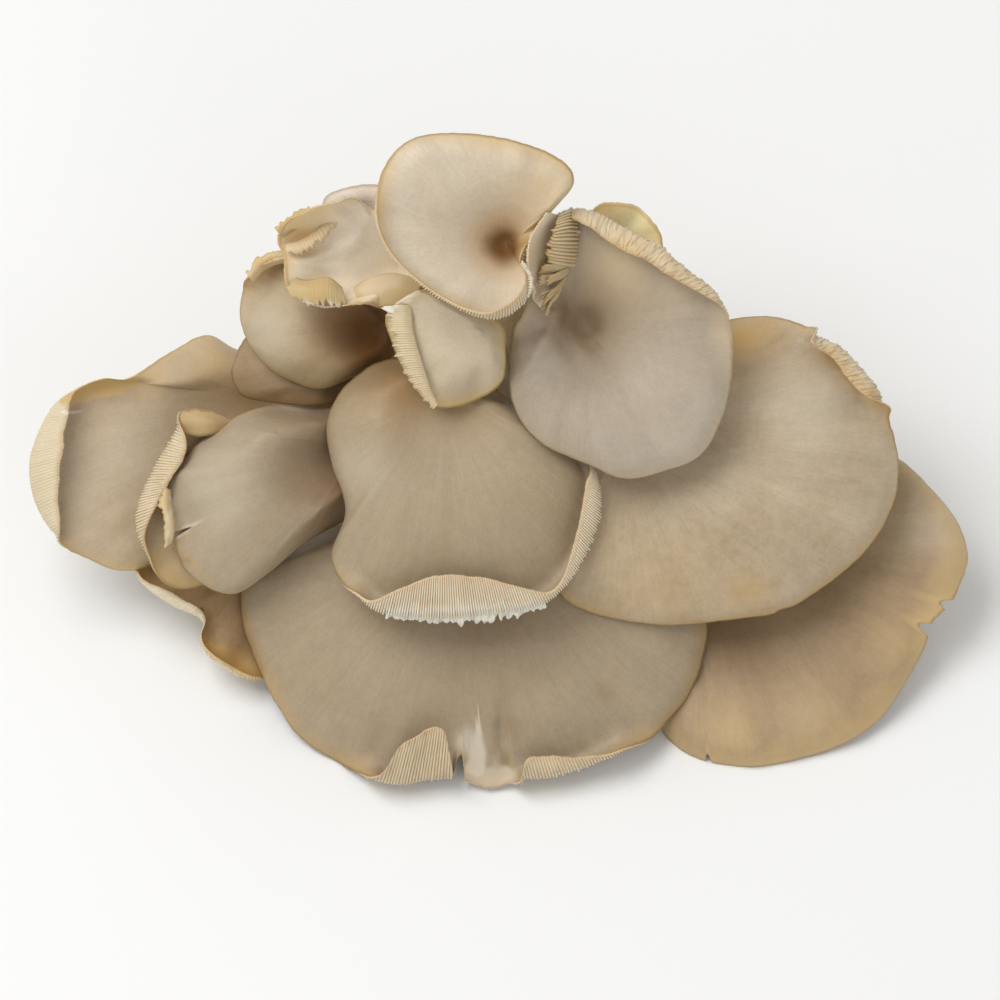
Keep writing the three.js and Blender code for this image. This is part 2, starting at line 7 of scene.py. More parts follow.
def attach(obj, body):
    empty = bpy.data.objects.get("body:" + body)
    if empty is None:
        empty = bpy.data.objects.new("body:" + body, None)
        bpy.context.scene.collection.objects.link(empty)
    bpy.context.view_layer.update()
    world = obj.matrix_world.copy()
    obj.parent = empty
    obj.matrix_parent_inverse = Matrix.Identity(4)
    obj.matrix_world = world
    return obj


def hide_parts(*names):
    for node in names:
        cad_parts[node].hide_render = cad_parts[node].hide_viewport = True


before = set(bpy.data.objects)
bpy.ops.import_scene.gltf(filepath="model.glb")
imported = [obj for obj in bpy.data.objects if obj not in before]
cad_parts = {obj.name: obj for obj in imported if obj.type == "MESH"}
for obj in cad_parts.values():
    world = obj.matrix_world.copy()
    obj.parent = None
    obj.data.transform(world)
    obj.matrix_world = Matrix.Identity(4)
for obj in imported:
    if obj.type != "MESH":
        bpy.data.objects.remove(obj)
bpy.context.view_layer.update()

# Top cap.
# The highest mushroom: a fan of pale greige flesh with a dark dip where its stem meets it, its darkness
# partly painted shade, and a thin rim whose gill tips stick out along the lower left. It grew from the root
# clump, which its stem sinks into.
FACE_TILT = math.radians(30)    # the caps' common face leans back from the table by this
FACE_HEIGHT = 60.5              # of the face's middle above the table, in millimetres
MIDDLE = (-0.5, -0.8)           # of the whole cluster, seen from above
MM = 0.001
ROLL_LENGTH = 8.0               # of a rim where its own isn't given
BEND_LENGTH = 7.0               # of a rim's curl; a longer rim goes on straight
FLAT_SHARE = 0.8                # of a cap's rings lie inside its rim
SHORT_COLUMN = 30.0             # a cap narrower than this is crowned less
GILL_SPACING = 0.8
EVEN_COLUMNS = 14
CALM_TURN = 0.45                # radians round the eye over which a cap's middle is evened out
SLOPE_STEP = 0.3                # of skin over which its slope is taken
RIM_WAVES = (9, 14, 23)         # lengths of a rim's slow waves
RIM_NIBBLES = (3.1, 4.7, 7.9)   # and of its fine ones
BUMP_LENGTH = 26
BUMP_HEIGHT = 0.4
THIN_FLESH = 0.95               # at the rim
MORE_FLESH = 4.05               # added towards the eye
BLADE = ((0.0, 0.0), (0.1, 1.0), (0.6, 1.0), (0.72, 0.0))    # place in the spacing, depth
LAMELLAE = (0.56, 0.34, 0.18, 0.0)                            # where short and long gills begin
SHEET_STEP = 0.9                # between the rings of a torn strip
GRAIN_STRETCH = 0.12            # the fibres are this much finer across than along
NO_FUNNEL = (0, 8)              # depth and radius of the dip over the stem
STEM_RINGS = 18
FILLET_RINGS = 6
STEM_BEND = 0.35                # of its length that each end of a stem keeps its way
FAR = 90.0                      # from any eye or rim


def to_table(points):
    """Points on the face (u, v, w in millimetres) as points in the row's frame, in metres."""
    u, v, w = points[..., 0], points[..., 1], points[..., 2]
    y = v * math.cos(FACE_TILT) - w * math.sin(FACE_TILT)
    z = v * math.sin(FACE_TILT) + w * math.cos(FACE_TILT) + FACE_HEIGHT
    return np.stack([u - MIDDLE[0], y - MIDDLE[1], z], axis=-1) * MM


def to_face(point):
    """A point above the table, in millimetres, as a point on the face."""
    x, y, z = point
    z = z - FACE_HEIGHT
    return np.array([x, y * math.cos(FACE_TILT) + z * math.sin(FACE_TILT),
                     z * math.cos(FACE_TILT) - y * math.sin(FACE_TILT)])


def cubic(a, b, c, d, f):
    """The smooth curve through four values in a row, at the share f of the way from b to c."""
    square, cube = 2 * a - 5 * b + 4 * c - d, 3 * b - a - 3 * c + d
    return 0.5 * (2 * b + (c - a) * f + square * f ** 2 + cube * f ** 3)


def rim_at(rim, shares):
    """The closed smooth curve through the rim's points, at shares of its length in points."""
    rim = np.array([tuple(point) + (ROLL_LENGTH,) * (5 - len(point)) for point in rim])
    place = shares * len(rim)
    first = np.floor(place).astype(int)
    return cubic(*(rim[(first + step) % len(rim)] for step in (-1, 0, 1, 2)), (place - first)[:, None])


def rim_columns(rim, places):
    """The rim at places from 0 to 1 that share out its real length."""
    shares = np.linspace(0, 1, 60 * len(rim) + 1)
    points = rim_at(rim, shares)
    run = np.concatenate([[0], np.cumsum(np.hypot(*np.diff(points[:, :2], axis=0).T))])
    return rim_at(rim, np.interp(places * run[-1], run, shares)), run[-1]


def smooth(low, high, x):
    """A smooth step from 0 to 1 between two values."""
    t = np.clip((x - low) / (high - low), 0, 1)
    return t * t * (3 - 2 * t)


def wander(around, lengths, seed):
    """A smooth closed wobble of about one millimetre along a rim of that length: the sum of some waves."""
    draw = np.random.default_rng(seed)
    whole = np.max(around)
    total = np.zeros_like(around)
    for length in lengths:
        turns = max(1, round(whole / length))
        total += draw.uniform(0.5, 1) * np.sin(2 * math.pi * turns * around / whole + draw.uniform(0, 6.28))
    return total / len(lengths)


def swell(u, v, length, seed):
    """Low bumps over the skin, as wide as length."""
    draw = np.random.default_rng(seed)
    total = np.zeros_like(u)
    for turn in draw.uniform(0, math.pi, 7):
        size = length * draw.uniform(0.7, 1.6)
        along = u * math.cos(turn) + v * math.sin(turn)
        total += np.sin(2 * math.pi * along / size + draw.uniform(0, 6.28))
    return total / 3


def dent(cap, u, v):
    """Folds and hollows of the skin: (u, v, turn in degrees, half length, half width, rise)."""
    rise = np.zeros_like(u)
    for place_u, place_v, turn, length, width, high in cap.get("dents", ()):
        turn = math.radians(turn)
        along = (u - place_u) * math.cos(turn) + (v - place_v) * math.sin(turn)
        across = (v - place_v) * math.cos(turn) - (u - place_u) * math.sin(turn)
        rise += high * np.exp(-(along / length) ** 2 - (across / width) ** 2)
    return rise


def evened(values, reach):
    """A closed row of values, averaged over reach places on each side."""
    wrapped = np.concatenate([values[-reach:], values, values[:reach]])
    total = np.cumsum(np.concatenate([[0.0], wrapped]))
    return (total[2 * reach + 1:] - total[:-2 * reach - 1]) / (2 * reach + 1)


def near_turns(way):
    """For each column, the shares of all columns in its calm value, by their angles round the eye."""
    turn_at = np.unwrap(np.arctan2(way[:, 1], way[:, 0]))
    apart = (turn_at[:, None] - turn_at[None, :] + math.pi) % (2 * math.pi) - math.pi
    share_of = np.exp(-(apart / CALM_TURN) ** 2) * np.abs(np.gradient(turn_at))[None, :]
    return share_of / share_of.sum(axis=1, keepdims=True)


def cap_section(cap, edge, ripple):
    """The skin of a cap along each column, as a function of the ring's share from the eye to the rim."""
    eye_u, eye_v, eye_w = cap["eye"]
    dip_depth, dip_radius = cap.get("funnel", NO_FUNNEL)
    du, dv = edge[:, 0] - eye_u, edge[:, 1] - eye_v
    span = np.hypot(du, dv)
    way = np.stack([du / span, dv / span], axis=1)
    roll = np.minimum(edge[:, 4], 0.5 * span)
    bend = np.minimum(roll, BEND_LENGTH)
    lip = np.radians(edge[:, 3])
    flat = span - 0.6 * bend
    base = flat
    level = evened(edge[:, 2], EVEN_COLUMNS)
    share_of = near_turns(way)
    calm_base, calm_level = share_of @ base, share_of @ level

    def height(out):
        near_rim = smooth(0.5, 1, out / base)
        q = out / (calm_base * (1 - near_rim) + base * near_rim)
        crown = cap["crown"] * np.minimum(1, calm_base / SHORT_COLUMN) * np.sin(math.pi * q ** 1.5)
        dip = dip_depth * np.exp(-(out / dip_radius) ** 2)
        fall = (calm_level * (1 - near_rim) + level * near_rim - eye_w) * q ** 1.4
        u, v = eye_u + way[:, 0] * out, eye_v + way[:, 1] * out
        bumps = swell(u, v, BUMP_LENGTH, cap["seed"])
        bumps = BUMP_HEIGHT * bumps * smooth(0, 0.3, q) * (1 - 0.6 * np.minimum(q, 1))
        return eye_w + fall + crown - dip + bumps + dent(cap, u, v) + ripple * q ** 6

    def rolled(t):
        start = evened(np.arctan2(height(flat) - height(flat - SLOPE_STEP), SLOPE_STEP), EVEN_COLUMNS)
        turn = lip - start
        turn = np.where(np.abs(turn) < 0.01, 0.01, turn)
        bent = np.minimum(t * roll, bend)
        beyond = t * roll - bent
        slope = start + turn * bent / bend
        out = flat + bend * (np.sin(slope) - np.sin(start)) / turn + beyond * np.cos(lip)
        up = height(flat) + bend * (np.cos(start) - np.cos(slope)) / turn + beyond * np.sin(lip)
        return out, up, slope

    for _ in range(3):
        reach = np.zeros_like(flat)
        for t in np.arange(0.1, 1.05, 0.1):
            out, _, slope = rolled(t)
            under = out + (flesh_at(0.9) + 0.6) * np.sin(slope)
            reach = np.maximum(reach, np.maximum(out, under) - flat)
        base = evened(span - reach, EVEN_COLUMNS)
        flat = base
        calm_base = share_of @ base

    def section(share):
        share = np.broadcast_to(share, flat.shape)
        out = np.minimum(share / FLAT_SHARE, 1.0) * flat
        near = np.maximum(out, SLOPE_STEP)
        slope = np.arctan2(height(near) - height(near - SLOPE_STEP), SLOPE_STEP)
        out_r, up_r, slope_r = rolled(np.clip((share - FLAT_SHARE) / (1 - FLAT_SHARE), 0, 1))
        late = share > FLAT_SHARE
        return np.where(late, out_r, out), np.where(late, up_r, height(out)), np.where(late, slope_r, slope)

    return section, way, flat, roll


def trimmed(share, cut, flat, roll):
    """The ring's share where the rim is cut back by some millimetres along the skin."""
    last = np.where(cut < roll, 1 - (1 - FLAT_SHARE) * cut / roll, FLAT_SHARE * (1 - (cut - roll) / flat))
    return share - (1 - last) * smooth(0.5, 1, share) * np.minimum(1, share)


def flesh_at(share):
    """How thick the flesh is between skin and gills."""
    return THIN_FLESH + MORE_FLESH * (1 - np.minimum(share, 1)) ** 1.6


def gill_depth_at(share, bare):
    """How deep the gills are, where they are hidden underneath and where a curled rim bares them."""
    arch = np.sin(math.pi * np.minimum(1, share) ** 0.8)
    hidden = 0.7 + 1.9 * arch
    shown = 0.6 + 1.6 * arch * (share < 0.78)
    return hidden * (1 - bare) + shown * bare


def stitch(coarse, fine, flip):
    """Triangles between a ring and one with a whole number of times its points."""
    ratio = len(fine) // len(coarse)
    half = ratio // 2
    faces = []
    for k in range(len(coarse)):
        here, there = coarse[k], coarse[(k + 1) % len(coarse)]
        row = [fine[(ratio * k + i) % len(fine)] for i in range(ratio + 1)]
        faces += [(here, row[i], row[i + 1]) for i in range(half)]
        faces.append((here, row[half], there))
        faces += [(there, row[i], row[i + 1]) for i in range(half, ratio)]
    return [face[::-1] for face in faces] if flip else faces


def band(inner, outer, flip):
    """Quads between two rings with the same number of points."""
    inner, outer = np.asarray(inner), np.asarray(outer)
    quads = np.stack([inner, outer, np.roll(outer, -1), np.roll(inner, -1)], axis=1)
    return (quads[:, ::-1] if flip else quads).tolist()


def bands(rings, flip):
    """Quads between each ring and the next."""
    return [quad for inner, outer in zip(rings[:-1], rings[1:]) for quad in band(inner, outer, flip)]


def fan(middle, ring, flip):
    """Triangles between a point and a ring round it."""
    pairs = zip(ring, np.roll(ring, -1))
    return [(middle, b, a) if flip else (middle, a, b) for a, b in pairs]


def notch_depth(edge, fine, around, notches):
    """How far the rim is cut back: each notch is (u, v, half width, depth), where the rim comes nearest."""
    cut = np.zeros_like(fine)
    for u, v, half, depth in notches:
        place = fine[np.argmin((edge[:, 0] - u) ** 2 + (edge[:, 1] - v) ** 2)]
        gap = np.abs((fine - place + 0.5) % 1 - 0.5) * around
        cut = np.maximum(cut, depth * np.clip(1.6 - 1.6 * gap / half, 0, 1) ** 0.6)
    return cut


def spots_at(spots, u, v):
    """A mask on the face: soft round spots (u, v, radius, strength), and strips that widen from one end to
    the other (u, v, other u, other v, half width, other half width, strength)."""
    mask = np.zeros_like(u)
    u, v = u + 0.45 * swell(u, v, 3.6, 7), v + 0.45 * swell(u, v, 3.1, 8)
    for spot in spots:
        if len(spot) == 4:
            place_u, place_v, radius, strength = spot
            far = ((u - place_u) ** 2 + (v - place_v) ** 2) / radius ** 2
            mask = np.maximum(mask, strength * np.exp(-far))
            continue
        u_a, v_a, u_b, v_b, half_a, half_b, strength = spot
        way = ((u - u_a) * (u_b - u_a) + (v - v_a) * (v_b - v_a)) / ((u_b - u_a) ** 2 + (v_b - v_a) ** 2)
        way = np.clip(way, 0, 1)
        far = np.hypot(u - u_a - way * (u_b - u_a), v - v_a - way * (v_b - v_a))
        half = half_a + (half_b - half_a) * way
        mask = np.maximum(mask, strength * (1 - smooth(0.7 * half - 0.1, 1.25 * half + 0.3, far)))
    return mask


def run_on(rows):
    """Rows with one more at each end, straight on."""
    return np.concatenate([2 * rows[:1] - rows[1:2], rows, 2 * rows[-1:] - rows[-2:-1]])


def through(rows, shares):
    """A smooth open curve through rows at equal steps."""
    rows = run_on(rows)
    place = shares * (len(rows) - 3)
    first = np.minimum(np.floor(place).astype(int), len(rows) - 4)
    return cubic(*(rows[first + step] for step in range(4)), (place - first)[:, None, None])


def torn_sheet(rows, seed, thick=0.9, front=0.0, back=0.3, ragged=0.5, spacing=0.8, skin=False,
               warm=0.0, white=0.0):
    """A torn or folded strip: a thin closed sheet through rows of points on the face, first row at its
    root, with gills that run from the root to the free edge, front and back deep."""
    draw = np.random.default_rng(seed)
    rows = np.array(rows, float)
    length = np.linalg.norm(np.diff(rows[-1], axis=0), axis=1).sum()
    count = max(6, round(length / spacing))
    blade = np.array(BLADE)
    fine = np.append(((np.arange(count)[:, None] + blade[:, 0]) / count).ravel(), 1.0)
    ridge = np.append(np.tile(blade[:, 1], count), 0.0)
    tall = np.append(np.repeat(draw.uniform(0.5, 1.2, count), len(BLADE)), 1.0)
    across = np.linalg.norm(np.diff(rows[:, rows.shape[1] // 2], axis=0), axis=1).sum()
    bite = ragged * (0.5 + 0.5 * wander(fine * length + 0.01, (2.1, 3.7, 7), seed + 1)) / across
    bite = bite + np.append(np.repeat(draw.uniform(0, 0.7, count) ** 2, len(BLADE)), 0.3) * ragged / across
    steps = np.linspace(0, 1, max(5, round(across / SHEET_STEP)))
    columns = run_on(np.swapaxes(through(np.swapaxes(rows, 0, 1), fine), 0, 1))
    grid = np.empty((len(steps), len(fine), 3))
    for k, step in enumerate(steps):
        place = step * (1 - bite) * (len(rows) - 1)
        first = np.minimum(np.floor(place).astype(int), len(rows) - 2)
        near = (columns[first + i, np.arange(len(fine))] for i in range(4))
        grid[k] = cubic(*near, (place - first)[:, None])
    normal = np.cross(np.gradient(grid, axis=1), np.gradient(grid, axis=0))
    normal /= np.maximum(np.linalg.norm(normal, axis=2, keepdims=True), 1e-9)
    if normal[..., 2].mean() < 0:
        normal = -normal
    inner = np.sin(np.linspace(0.15, math.pi - 0.15, len(fine)))[None, :] ** 0.4
    body = thick * 0.5 * (1 - 0.55 * steps[:, None] ** 3) * inner
    rise = (ridge * tall)[None, :] * smooth(0, 0.25, steps)[:, None] * inner
    upper = grid + normal * (body + front * rise)[..., None]
    lower = grid - normal * (body + back * rise)[..., None]
    m, n = len(steps), len(fine)
    points = np.concatenate([upper.reshape(-1, 3), lower.reshape(-1, 3)])
    top = np.arange(m * n).reshape(m, n)
    cells = np.stack([top[:-1, :-1], top[:-1, 1:], top[1:, 1:], top[1:, :-1]], axis=-1).reshape(-1, 4)
    under = (cells + m * n)[:, ::-1]
    ring_top = np.concatenate([top[0, :-1], top[:-1, -1], top[-1, :0:-1], top[:0:-1, 0]])
    ring_low = ring_top + m * n
    border = np.stack([ring_top, ring_low, np.roll(ring_low, -1), np.roll(ring_top, -1)], axis=-1)
    along = np.broadcast_to(fine * length, (m, n)).ravel()
    out = np.broadcast_to((steps * across)[:, None], (m, n)).ravel()
    # The trenches between the strip's gills, painted as shade by the gill material.
    trench = 1 - np.broadcast_to(ridge, (m, n)).ravel()
    shown = trench if front > 0 else np.zeros_like(trench)
    fibre = np.stack([along, out * GRAIN_STRETCH, np.full_like(out, seed * 3.7)], axis=1)
    extra = {
        "grain": np.tile(fibre, (2, 1)),
        "edge_mm": np.tile(across - out, 2),
        "eye_mm": np.full(2 * m * n, FAR),
        "deep": np.concatenate([shown, trench]),
        "own_warm": np.full(2 * m * n, warm),
        "own_white": np.full(2 * m * n, white),
    }
    sides = under.tolist() + border.tolist()
    return points, extra, cells.tolist() if skin else [], sides + ([] if skin else cells.tolist())


def stem_rings(cap, angle, inner, into):
    """Rings of points down a stem, from under the gills (inner, on its way into the flesh) to its foot."""
    start = np.array([cap["eye"][0], cap["eye"][1], cap["eye"][2] - cap.get("funnel", NO_FUNNEL)[0] - 2])
    end = to_face(cap["foot"])
    reach = np.linalg.norm(end - start)
    rise = (start - end) / reach + np.array([0, math.sin(FACE_TILT), math.cos(FACE_TILT)])
    rise /= np.linalg.norm(rise)
    a = start
    b = start + np.array([0, 0, -STEM_BEND * reach])
    c = end + STEM_BEND * reach * rise
    d = end

    def stalk(t):
        place = (1 - t) ** 3 * a + 3 * t * (1 - t) ** 2 * b + 3 * t * t * (1 - t) * c + t ** 3 * d
        way_on = (1 - t) ** 2 * (b - a) + 2 * t * (1 - t) * (c - b) + t * t * (d - c)
        return place, way_on / np.linalg.norm(way_on)

    even = np.sign(angle[-1] - angle[0]) * 2 * math.pi * np.arange(len(angle)) / len(angle)
    even = even + np.mean(angle - even)
    side_a, side_b = np.array([1.0, 0, 0]), np.array([0, 1.0, 0])
    last_way = np.array([0, 0, -1.0])
    leave = min(0.3, 1.9 * cap["stem"] / reach)
    ribs = np.where(np.arange(len(angle)) % 2 == 0, 0.5, -0.5)
    lumps = np.random.default_rng(cap["seed"] + 5).uniform(0, 6.28, 6)
    rings = []
    for t in np.linspace(leave, 1, STEM_RINGS):
        place, way_on = stalk(t)
        axis = np.cross(last_way, way_on)
        if np.linalg.norm(axis) > 1e-6:
            turn = Matrix.Rotation(math.asin(min(1, np.linalg.norm(axis))), 3, Vector(axis))
            side_a, side_b = np.array(turn @ Vector(side_a)), np.array(turn @ Vector(side_b))
        last_way = way_on
        spread = smooth(leave, leave + 0.45, t)
        here = angle * (1 - spread) + even * spread
        lumpy = 1 + 0.05 * np.sin(2 * here + lumps[0] + 3 * t) + 0.035 * np.sin(3 * here + lumps[1] - 4 * t)
        size = cap["stem"] * (1 + 0.7 * (1 - t) ** 4 + 0.15 * t * t) * lumpy
        size = size + ribs * (1 - smooth(leave, 0.6, t)) * 0.6
        spokes = np.cos(here)[:, None] * side_a + np.sin(here)[:, None] * side_b
        rings.append(place + size[:, None] * spokes)
    _, first_way = stalk(leave)
    gap = np.linalg.norm(rings[0] - inner, axis=1, keepdims=True)
    fillet = []
    for k in range(1, FILLET_RINGS):
        t = k / FILLET_RINGS
        fillet.append((2 * t ** 3 - 3 * t * t + 1) * inner + (t ** 3 - 2 * t * t + t) * gap * into
                      + (-2 * t ** 3 + 3 * t * t) * rings[0] + (t ** 3 - t * t) * gap * first_way)
    return fillet + rings, end


def mushroom_mesh(name, cap):
    """One closed skin: cap, rim, gills, and the stem down to its foot."""
    draw = np.random.default_rng(cap["seed"])
    _, around = rim_columns(cap["rim"], np.array([0.0]))
    gills = 2 * round(around / cap.get("gill_spacing", GILL_SPACING) / 2)
    blade = np.array(BLADE)
    fine = ((np.arange(gills)[:, None] + blade[:, 0]) / gills).ravel()
    deep = np.tile(blade[:, 1], gills)
    gill = np.repeat(np.arange(gills), len(BLADE))
    edge, _ = rim_columns(cap["rim"], fine)
    away = edge[:, :2] - np.array(cap["eye"][:2])
    edge[:, :2] += cap.get("wider", 0.4) * away / np.linalg.norm(away, axis=1, keepdims=True)
    edge[:, 3] += cap.get("curl", 4) * wander(fine * around, RIM_WAVES, cap["seed"] + 3)
    ripple = cap.get("ruffle", 0.5) * wander(fine * around, RIM_WAVES, cap["seed"] + 2)
    section, way, flat, roll = cap_section(cap, edge, ripple)
    ragged = 0.16 * (wander(fine * around, RIM_NIBBLES, cap["seed"] + 1) + 1)
    ragged = ragged + 0.12 * (draw.uniform(0, 1, gills) ** 3)[gill]
    cut = ragged + notch_depth(edge, fine, around, cap.get("notches", ()))
    bare = smooth(50, 120, edge[:, 3])
    level = np.zeros(gills, int)
    for k in (2, 4, 8):
        level += np.arange(gills) % k == 0
    begins = (np.array(LAMELLAE)[level] + draw.uniform(-0.05, 0.05, gills))[gill]
    tall = draw.uniform(0.75, 1.2, gills)[gill]
    torn = draw.uniform(0, 1, gills)[gill] ** 3 * bare * cap.get("torn", 0.3)
    lower = 1 - (1 - cap.get("rim_gills", 0.7)) * bare
    points, extra = [], {"grain": [], "edge_mm": [], "eye_mm": [], "deep": []}
    radius = around / (2 * math.pi)

    def add(places, index, share, trench, from_edge):
        start = sum(len(p) for p in points)
        points.append(places)
        turn = 2 * math.pi * fine[index]
        length = flat[index] * share / FLAT_SHARE
        round_it = np.stack([radius * np.cos(turn), radius * np.sin(turn), length * GRAIN_STRETCH], axis=1)
        for key, value in zip(extra, (round_it, from_edge, length, trench)):
            extra[key].append(value)
        return np.arange(start, start + len(places))

    def on_face(out, up):
        return np.stack([cap["eye"][0] + way[:, 0] * out, cap["eye"][1] + way[:, 1] * out, up], axis=1)

    top_index = np.arange(0, len(fine), len(BLADE) // 2)
    shares = np.concatenate([np.linspace(0.035, FLAT_SHARE, 20), np.linspace(0.82, 1, 10)])
    skin = [section(trimmed(share, cut, flat, roll)) for share in shares]
    runs = [np.zeros(len(fine))]
    for (out_a, up_a, _), (out_b, up_b, _) in zip(skin[:-1], skin[1:]):
        runs.append(runs[-1] + np.hypot(out_b - out_a, up_b - up_a))
    to_edge = [runs[-1] - run for run in runs]
    none = np.zeros(len(fine))
    middle_out, middle_up, _ = section(0.0)
    middle = add(on_face(middle_out, middle_up)[:1], np.array([0]), 0.0, none[:1], to_edge[0][:1])[0]
    top = []
    for share, (out, up, _), distance in zip(shares, skin, to_edge):
        top.append(add(on_face(out, up)[top_index], top_index, share, none[top_index], distance[top_index]))

    first = FLAT_SHARE * np.minimum(2.1 * cap["stem"], 0.45 * flat) / flat
    under = []
    steps = np.concatenate([np.linspace(0, 0.7, 7), np.linspace(0.77, 1, 10)])
    for step in steps:
        share = first + (1 - first) * step
        out, up, slope = section(trimmed(share, cut, flat, roll))
        grown = smooth(0, 0.13, share - begins)
        broken = 1.3 * torn * np.sin(math.pi * smooth(0.78, 0.95, share))
        rough = 1 + 0.12 * np.sin(gill * 2.4 + 9 * step) * bare + broken
        ends = 1 - 0.75 * smooth(0.965, 1, share)
        height = lower * gill_depth_at(share, bare) * tall * grown * rough * ends
        crumbs = evened(draw.uniform(-1, 1, len(fine)), 1) * bare * cap.get("granular", 0.1)
        depth = flesh_at(share) * (1 - 0.45 * smooth(0.9, 1, share)) + deep * height + crumbs
        places = on_face(out + depth * np.sin(slope), up - depth * np.cos(slope))
        # How far into the trench between gills each point lies, which the gill material paints as shade.
        under.append(add(places, np.arange(len(fine)), share, (1 - deep * grown) * lower, (1 - share) * 40))

    # the stem turns with the columns of the cap
    stem_index = np.arange(0, len(fine), 2 * len(BLADE))
    angle = np.unwrap(np.arctan2(way[stem_index, 1], way[stem_index, 0]))
    inner, second = (points[-len(steps) + k][stem_index] for k in (0, 1))
    into = inner - second
    into /= np.maximum(np.linalg.norm(into, axis=1, keepdims=True), 1e-6)
    rings, foot_place = stem_rings(cap, angle, inner, into)
    far = np.full(len(stem_index), 40.0)
    trench = np.full(len(stem_index), 0.25)
    stem = [add(ring, stem_index, 0.0, trench, far) for ring in rings]
    foot = add(foot_place[None, :], np.array([0]), 0.0, trench[:1], far[:1])[0]

    skin_faces = fan(middle, top[0], False) + bands(top, False)
    low_faces = stitch(top[-1], under[-1], False) + bands(under, True) + stitch(stem[0], under[0], True)
    low_faces += bands(stem, False) + fan(foot, stem[-1], True)
    whole = np.concatenate(points)
    body = {key: np.concatenate(value) for key, value in extra.items()}
    body["own_warm"] = body["own_white"] = np.zeros(len(whole))
    parts = [(whole, body, skin_faces, low_faces)] + [torn_sheet(**sheet) for sheet in cap.get("sheets", ())]
    shift = np.cumsum([0] + [len(part[0]) for part in parts]).tolist()
    skin_faces, low_faces = (
        [tuple(int(i) + start for i in face) for start, part in zip(shift, parts) for face in part[side]]
        for side in (2, 3))
    whole = np.concatenate([part[0] for part in parts])
    extra = {key: np.concatenate([part[1][key] for part in parts]) for key in body}
    # Of these masks, warm and white are the skin's own yellow and torn white flesh; the other one is mostly
    # painted shade in hollows, folds and under neighbouring caps, with a few truly browner patches.
    for key in ("warm", "brown", "white"):
        mask = spots_at(cap.get(key + "_spots", ()), whole[:, 0], whole[:, 1])
        extra[key] = np.maximum(mask, extra.pop("own_" + key, 0))
    faces = skin_faces + low_faces
    mesh = closed_mesh(name, to_table(whole), faces, np.ones(len(faces), bool))
    mesh.polygons.foreach_set("material_index", np.repeat([0, 1], [len(skin_faces), len(low_faces)]))
    for key, values in extra.items():
        kind, slot = ("FLOAT_VECTOR", "vector") if key == "grain" else ("FLOAT", "value")
        mesh.attributes.new(key, kind, "POINT").data.foreach_set(slot, values.ravel())
    return mesh


def closed_mesh(name, places, faces, smoothed):
    """A mesh from points and faces, its faces turned outwards and shaded smooth where told."""
    mesh = bpy.data.meshes.new(name)
    mesh.from_pydata(places.tolist(), [], faces)
    mesh.polygons.foreach_set("use_smooth", smoothed)
    mesh.update()
    mesh.calc_loop_triangles()
    corners = np.empty(len(mesh.loop_triangles) * 3, np.int32)
    mesh.loop_triangles.foreach_get("vertices", corners)
    a, b, c = np.moveaxis(places[corners].reshape(-1, 3, 3), 1, 0)
    if np.sum(a * np.cross(b, c)) < 0:
        mesh.flip_normals()
    return mesh


def node(tree, kind, settings=None, **inputs):
    """A shader node with its settings, and its sockets set: to a value, or from a socket of another node."""
    made = tree.nodes.new(kind)
    for key, value in (settings or {}).items():
        setattr(made, key, value)
    for key, value in inputs.items():
        socket = made.inputs[int(key[1:])] if key[0] == "_" else made.inputs[key.replace("_", " ")]
        if isinstance(value, bpy.types.NodeSocket):
            tree.links.new(value, socket)
        else:
            socket.default_value = value
    return made


def ramp(tree, factor, low, high):
    """A smooth step from 0 to 1 between two values."""
    made = node(tree, "ShaderNodeMapRange", {"interpolation_type": "SMOOTHSTEP"},
                Value=factor, From_Min=low, From_Max=high)
    return made.outputs["Result"]


def blend_colour(tree, share, first, second):
    """The second colour over the first, by its share."""
    return node(tree, "ShaderNodeMix", {"data_type": "RGBA"}, _0=share, _6=first, _7=second).outputs[2]


def math_node(tree, how, first, second):
    return node(tree, "ShaderNodeMath", {"operation": how}, _0=first, _1=second).outputs[0]


def times(tree, first, second):
    return math_node(tree, "MULTIPLY", first, second)


def noise(tree, place, scale, detail, roughness):
    made = node(tree, "ShaderNodeTexNoise", Vector=place, Scale=scale, Detail=detail, Roughness=roughness)
    return made.outputs[0]


def attribute(tree, name, output="Fac"):
    return node(tree, "ShaderNodeAttribute", {"attribute_name": name}).outputs[output]


def tone(red, green, blue):
    """A colour as seen on screen, 0 to 255, as the shader's linear colour."""
    return tuple((c / 255 / 12.92 if c <= 10 else ((c / 255 + 0.055) / 1.055) ** 2.4)
                 for c in (red, green, blue)) + (1.0,)


def shaded(colour, share):
    """The same colour, darker."""
    return tuple(c * share for c in colour[:3]) + (1.0,)


def new_group(name, inputs, outputs):
    """An empty shader group with its inputs (title, value) and outputs (title), all plain numbers."""
    group = bpy.data.node_groups.new(name, "ShaderNodeTree")
    for title, value in inputs:
        made = group.interface.new_socket(title, in_out="INPUT", socket_type="NodeSocketFloat")
        made.default_value = value
    for title in outputs:
        group.interface.new_socket(title, in_out="OUTPUT", socket_type="NodeSocketFloat")
    return group, group.nodes.new("NodeGroupInput").outputs, group.nodes.new("NodeGroupOutput").inputs


def fibre_group():
    """Fine fibres that run from the eye to the rim, in broad and narrow strands."""
    group, given, out = new_group("Cap fibres", [("Narrow", 1.1), ("Broad", 0.16)], ["Strands", "Bands"])
    grain = attribute(group, "grain", "Vector")
    narrow = noise(group, grain, given["Narrow"], 4.0, 0.6)
    broad = noise(group, grain, given["Broad"], 2.0, 0.5)
    group.links.new(ramp(group, narrow, 0.25, 0.75), out["Strands"])
    group.links.new(ramp(group, broad, 0.2, 0.8), out["Bands"])
    return group


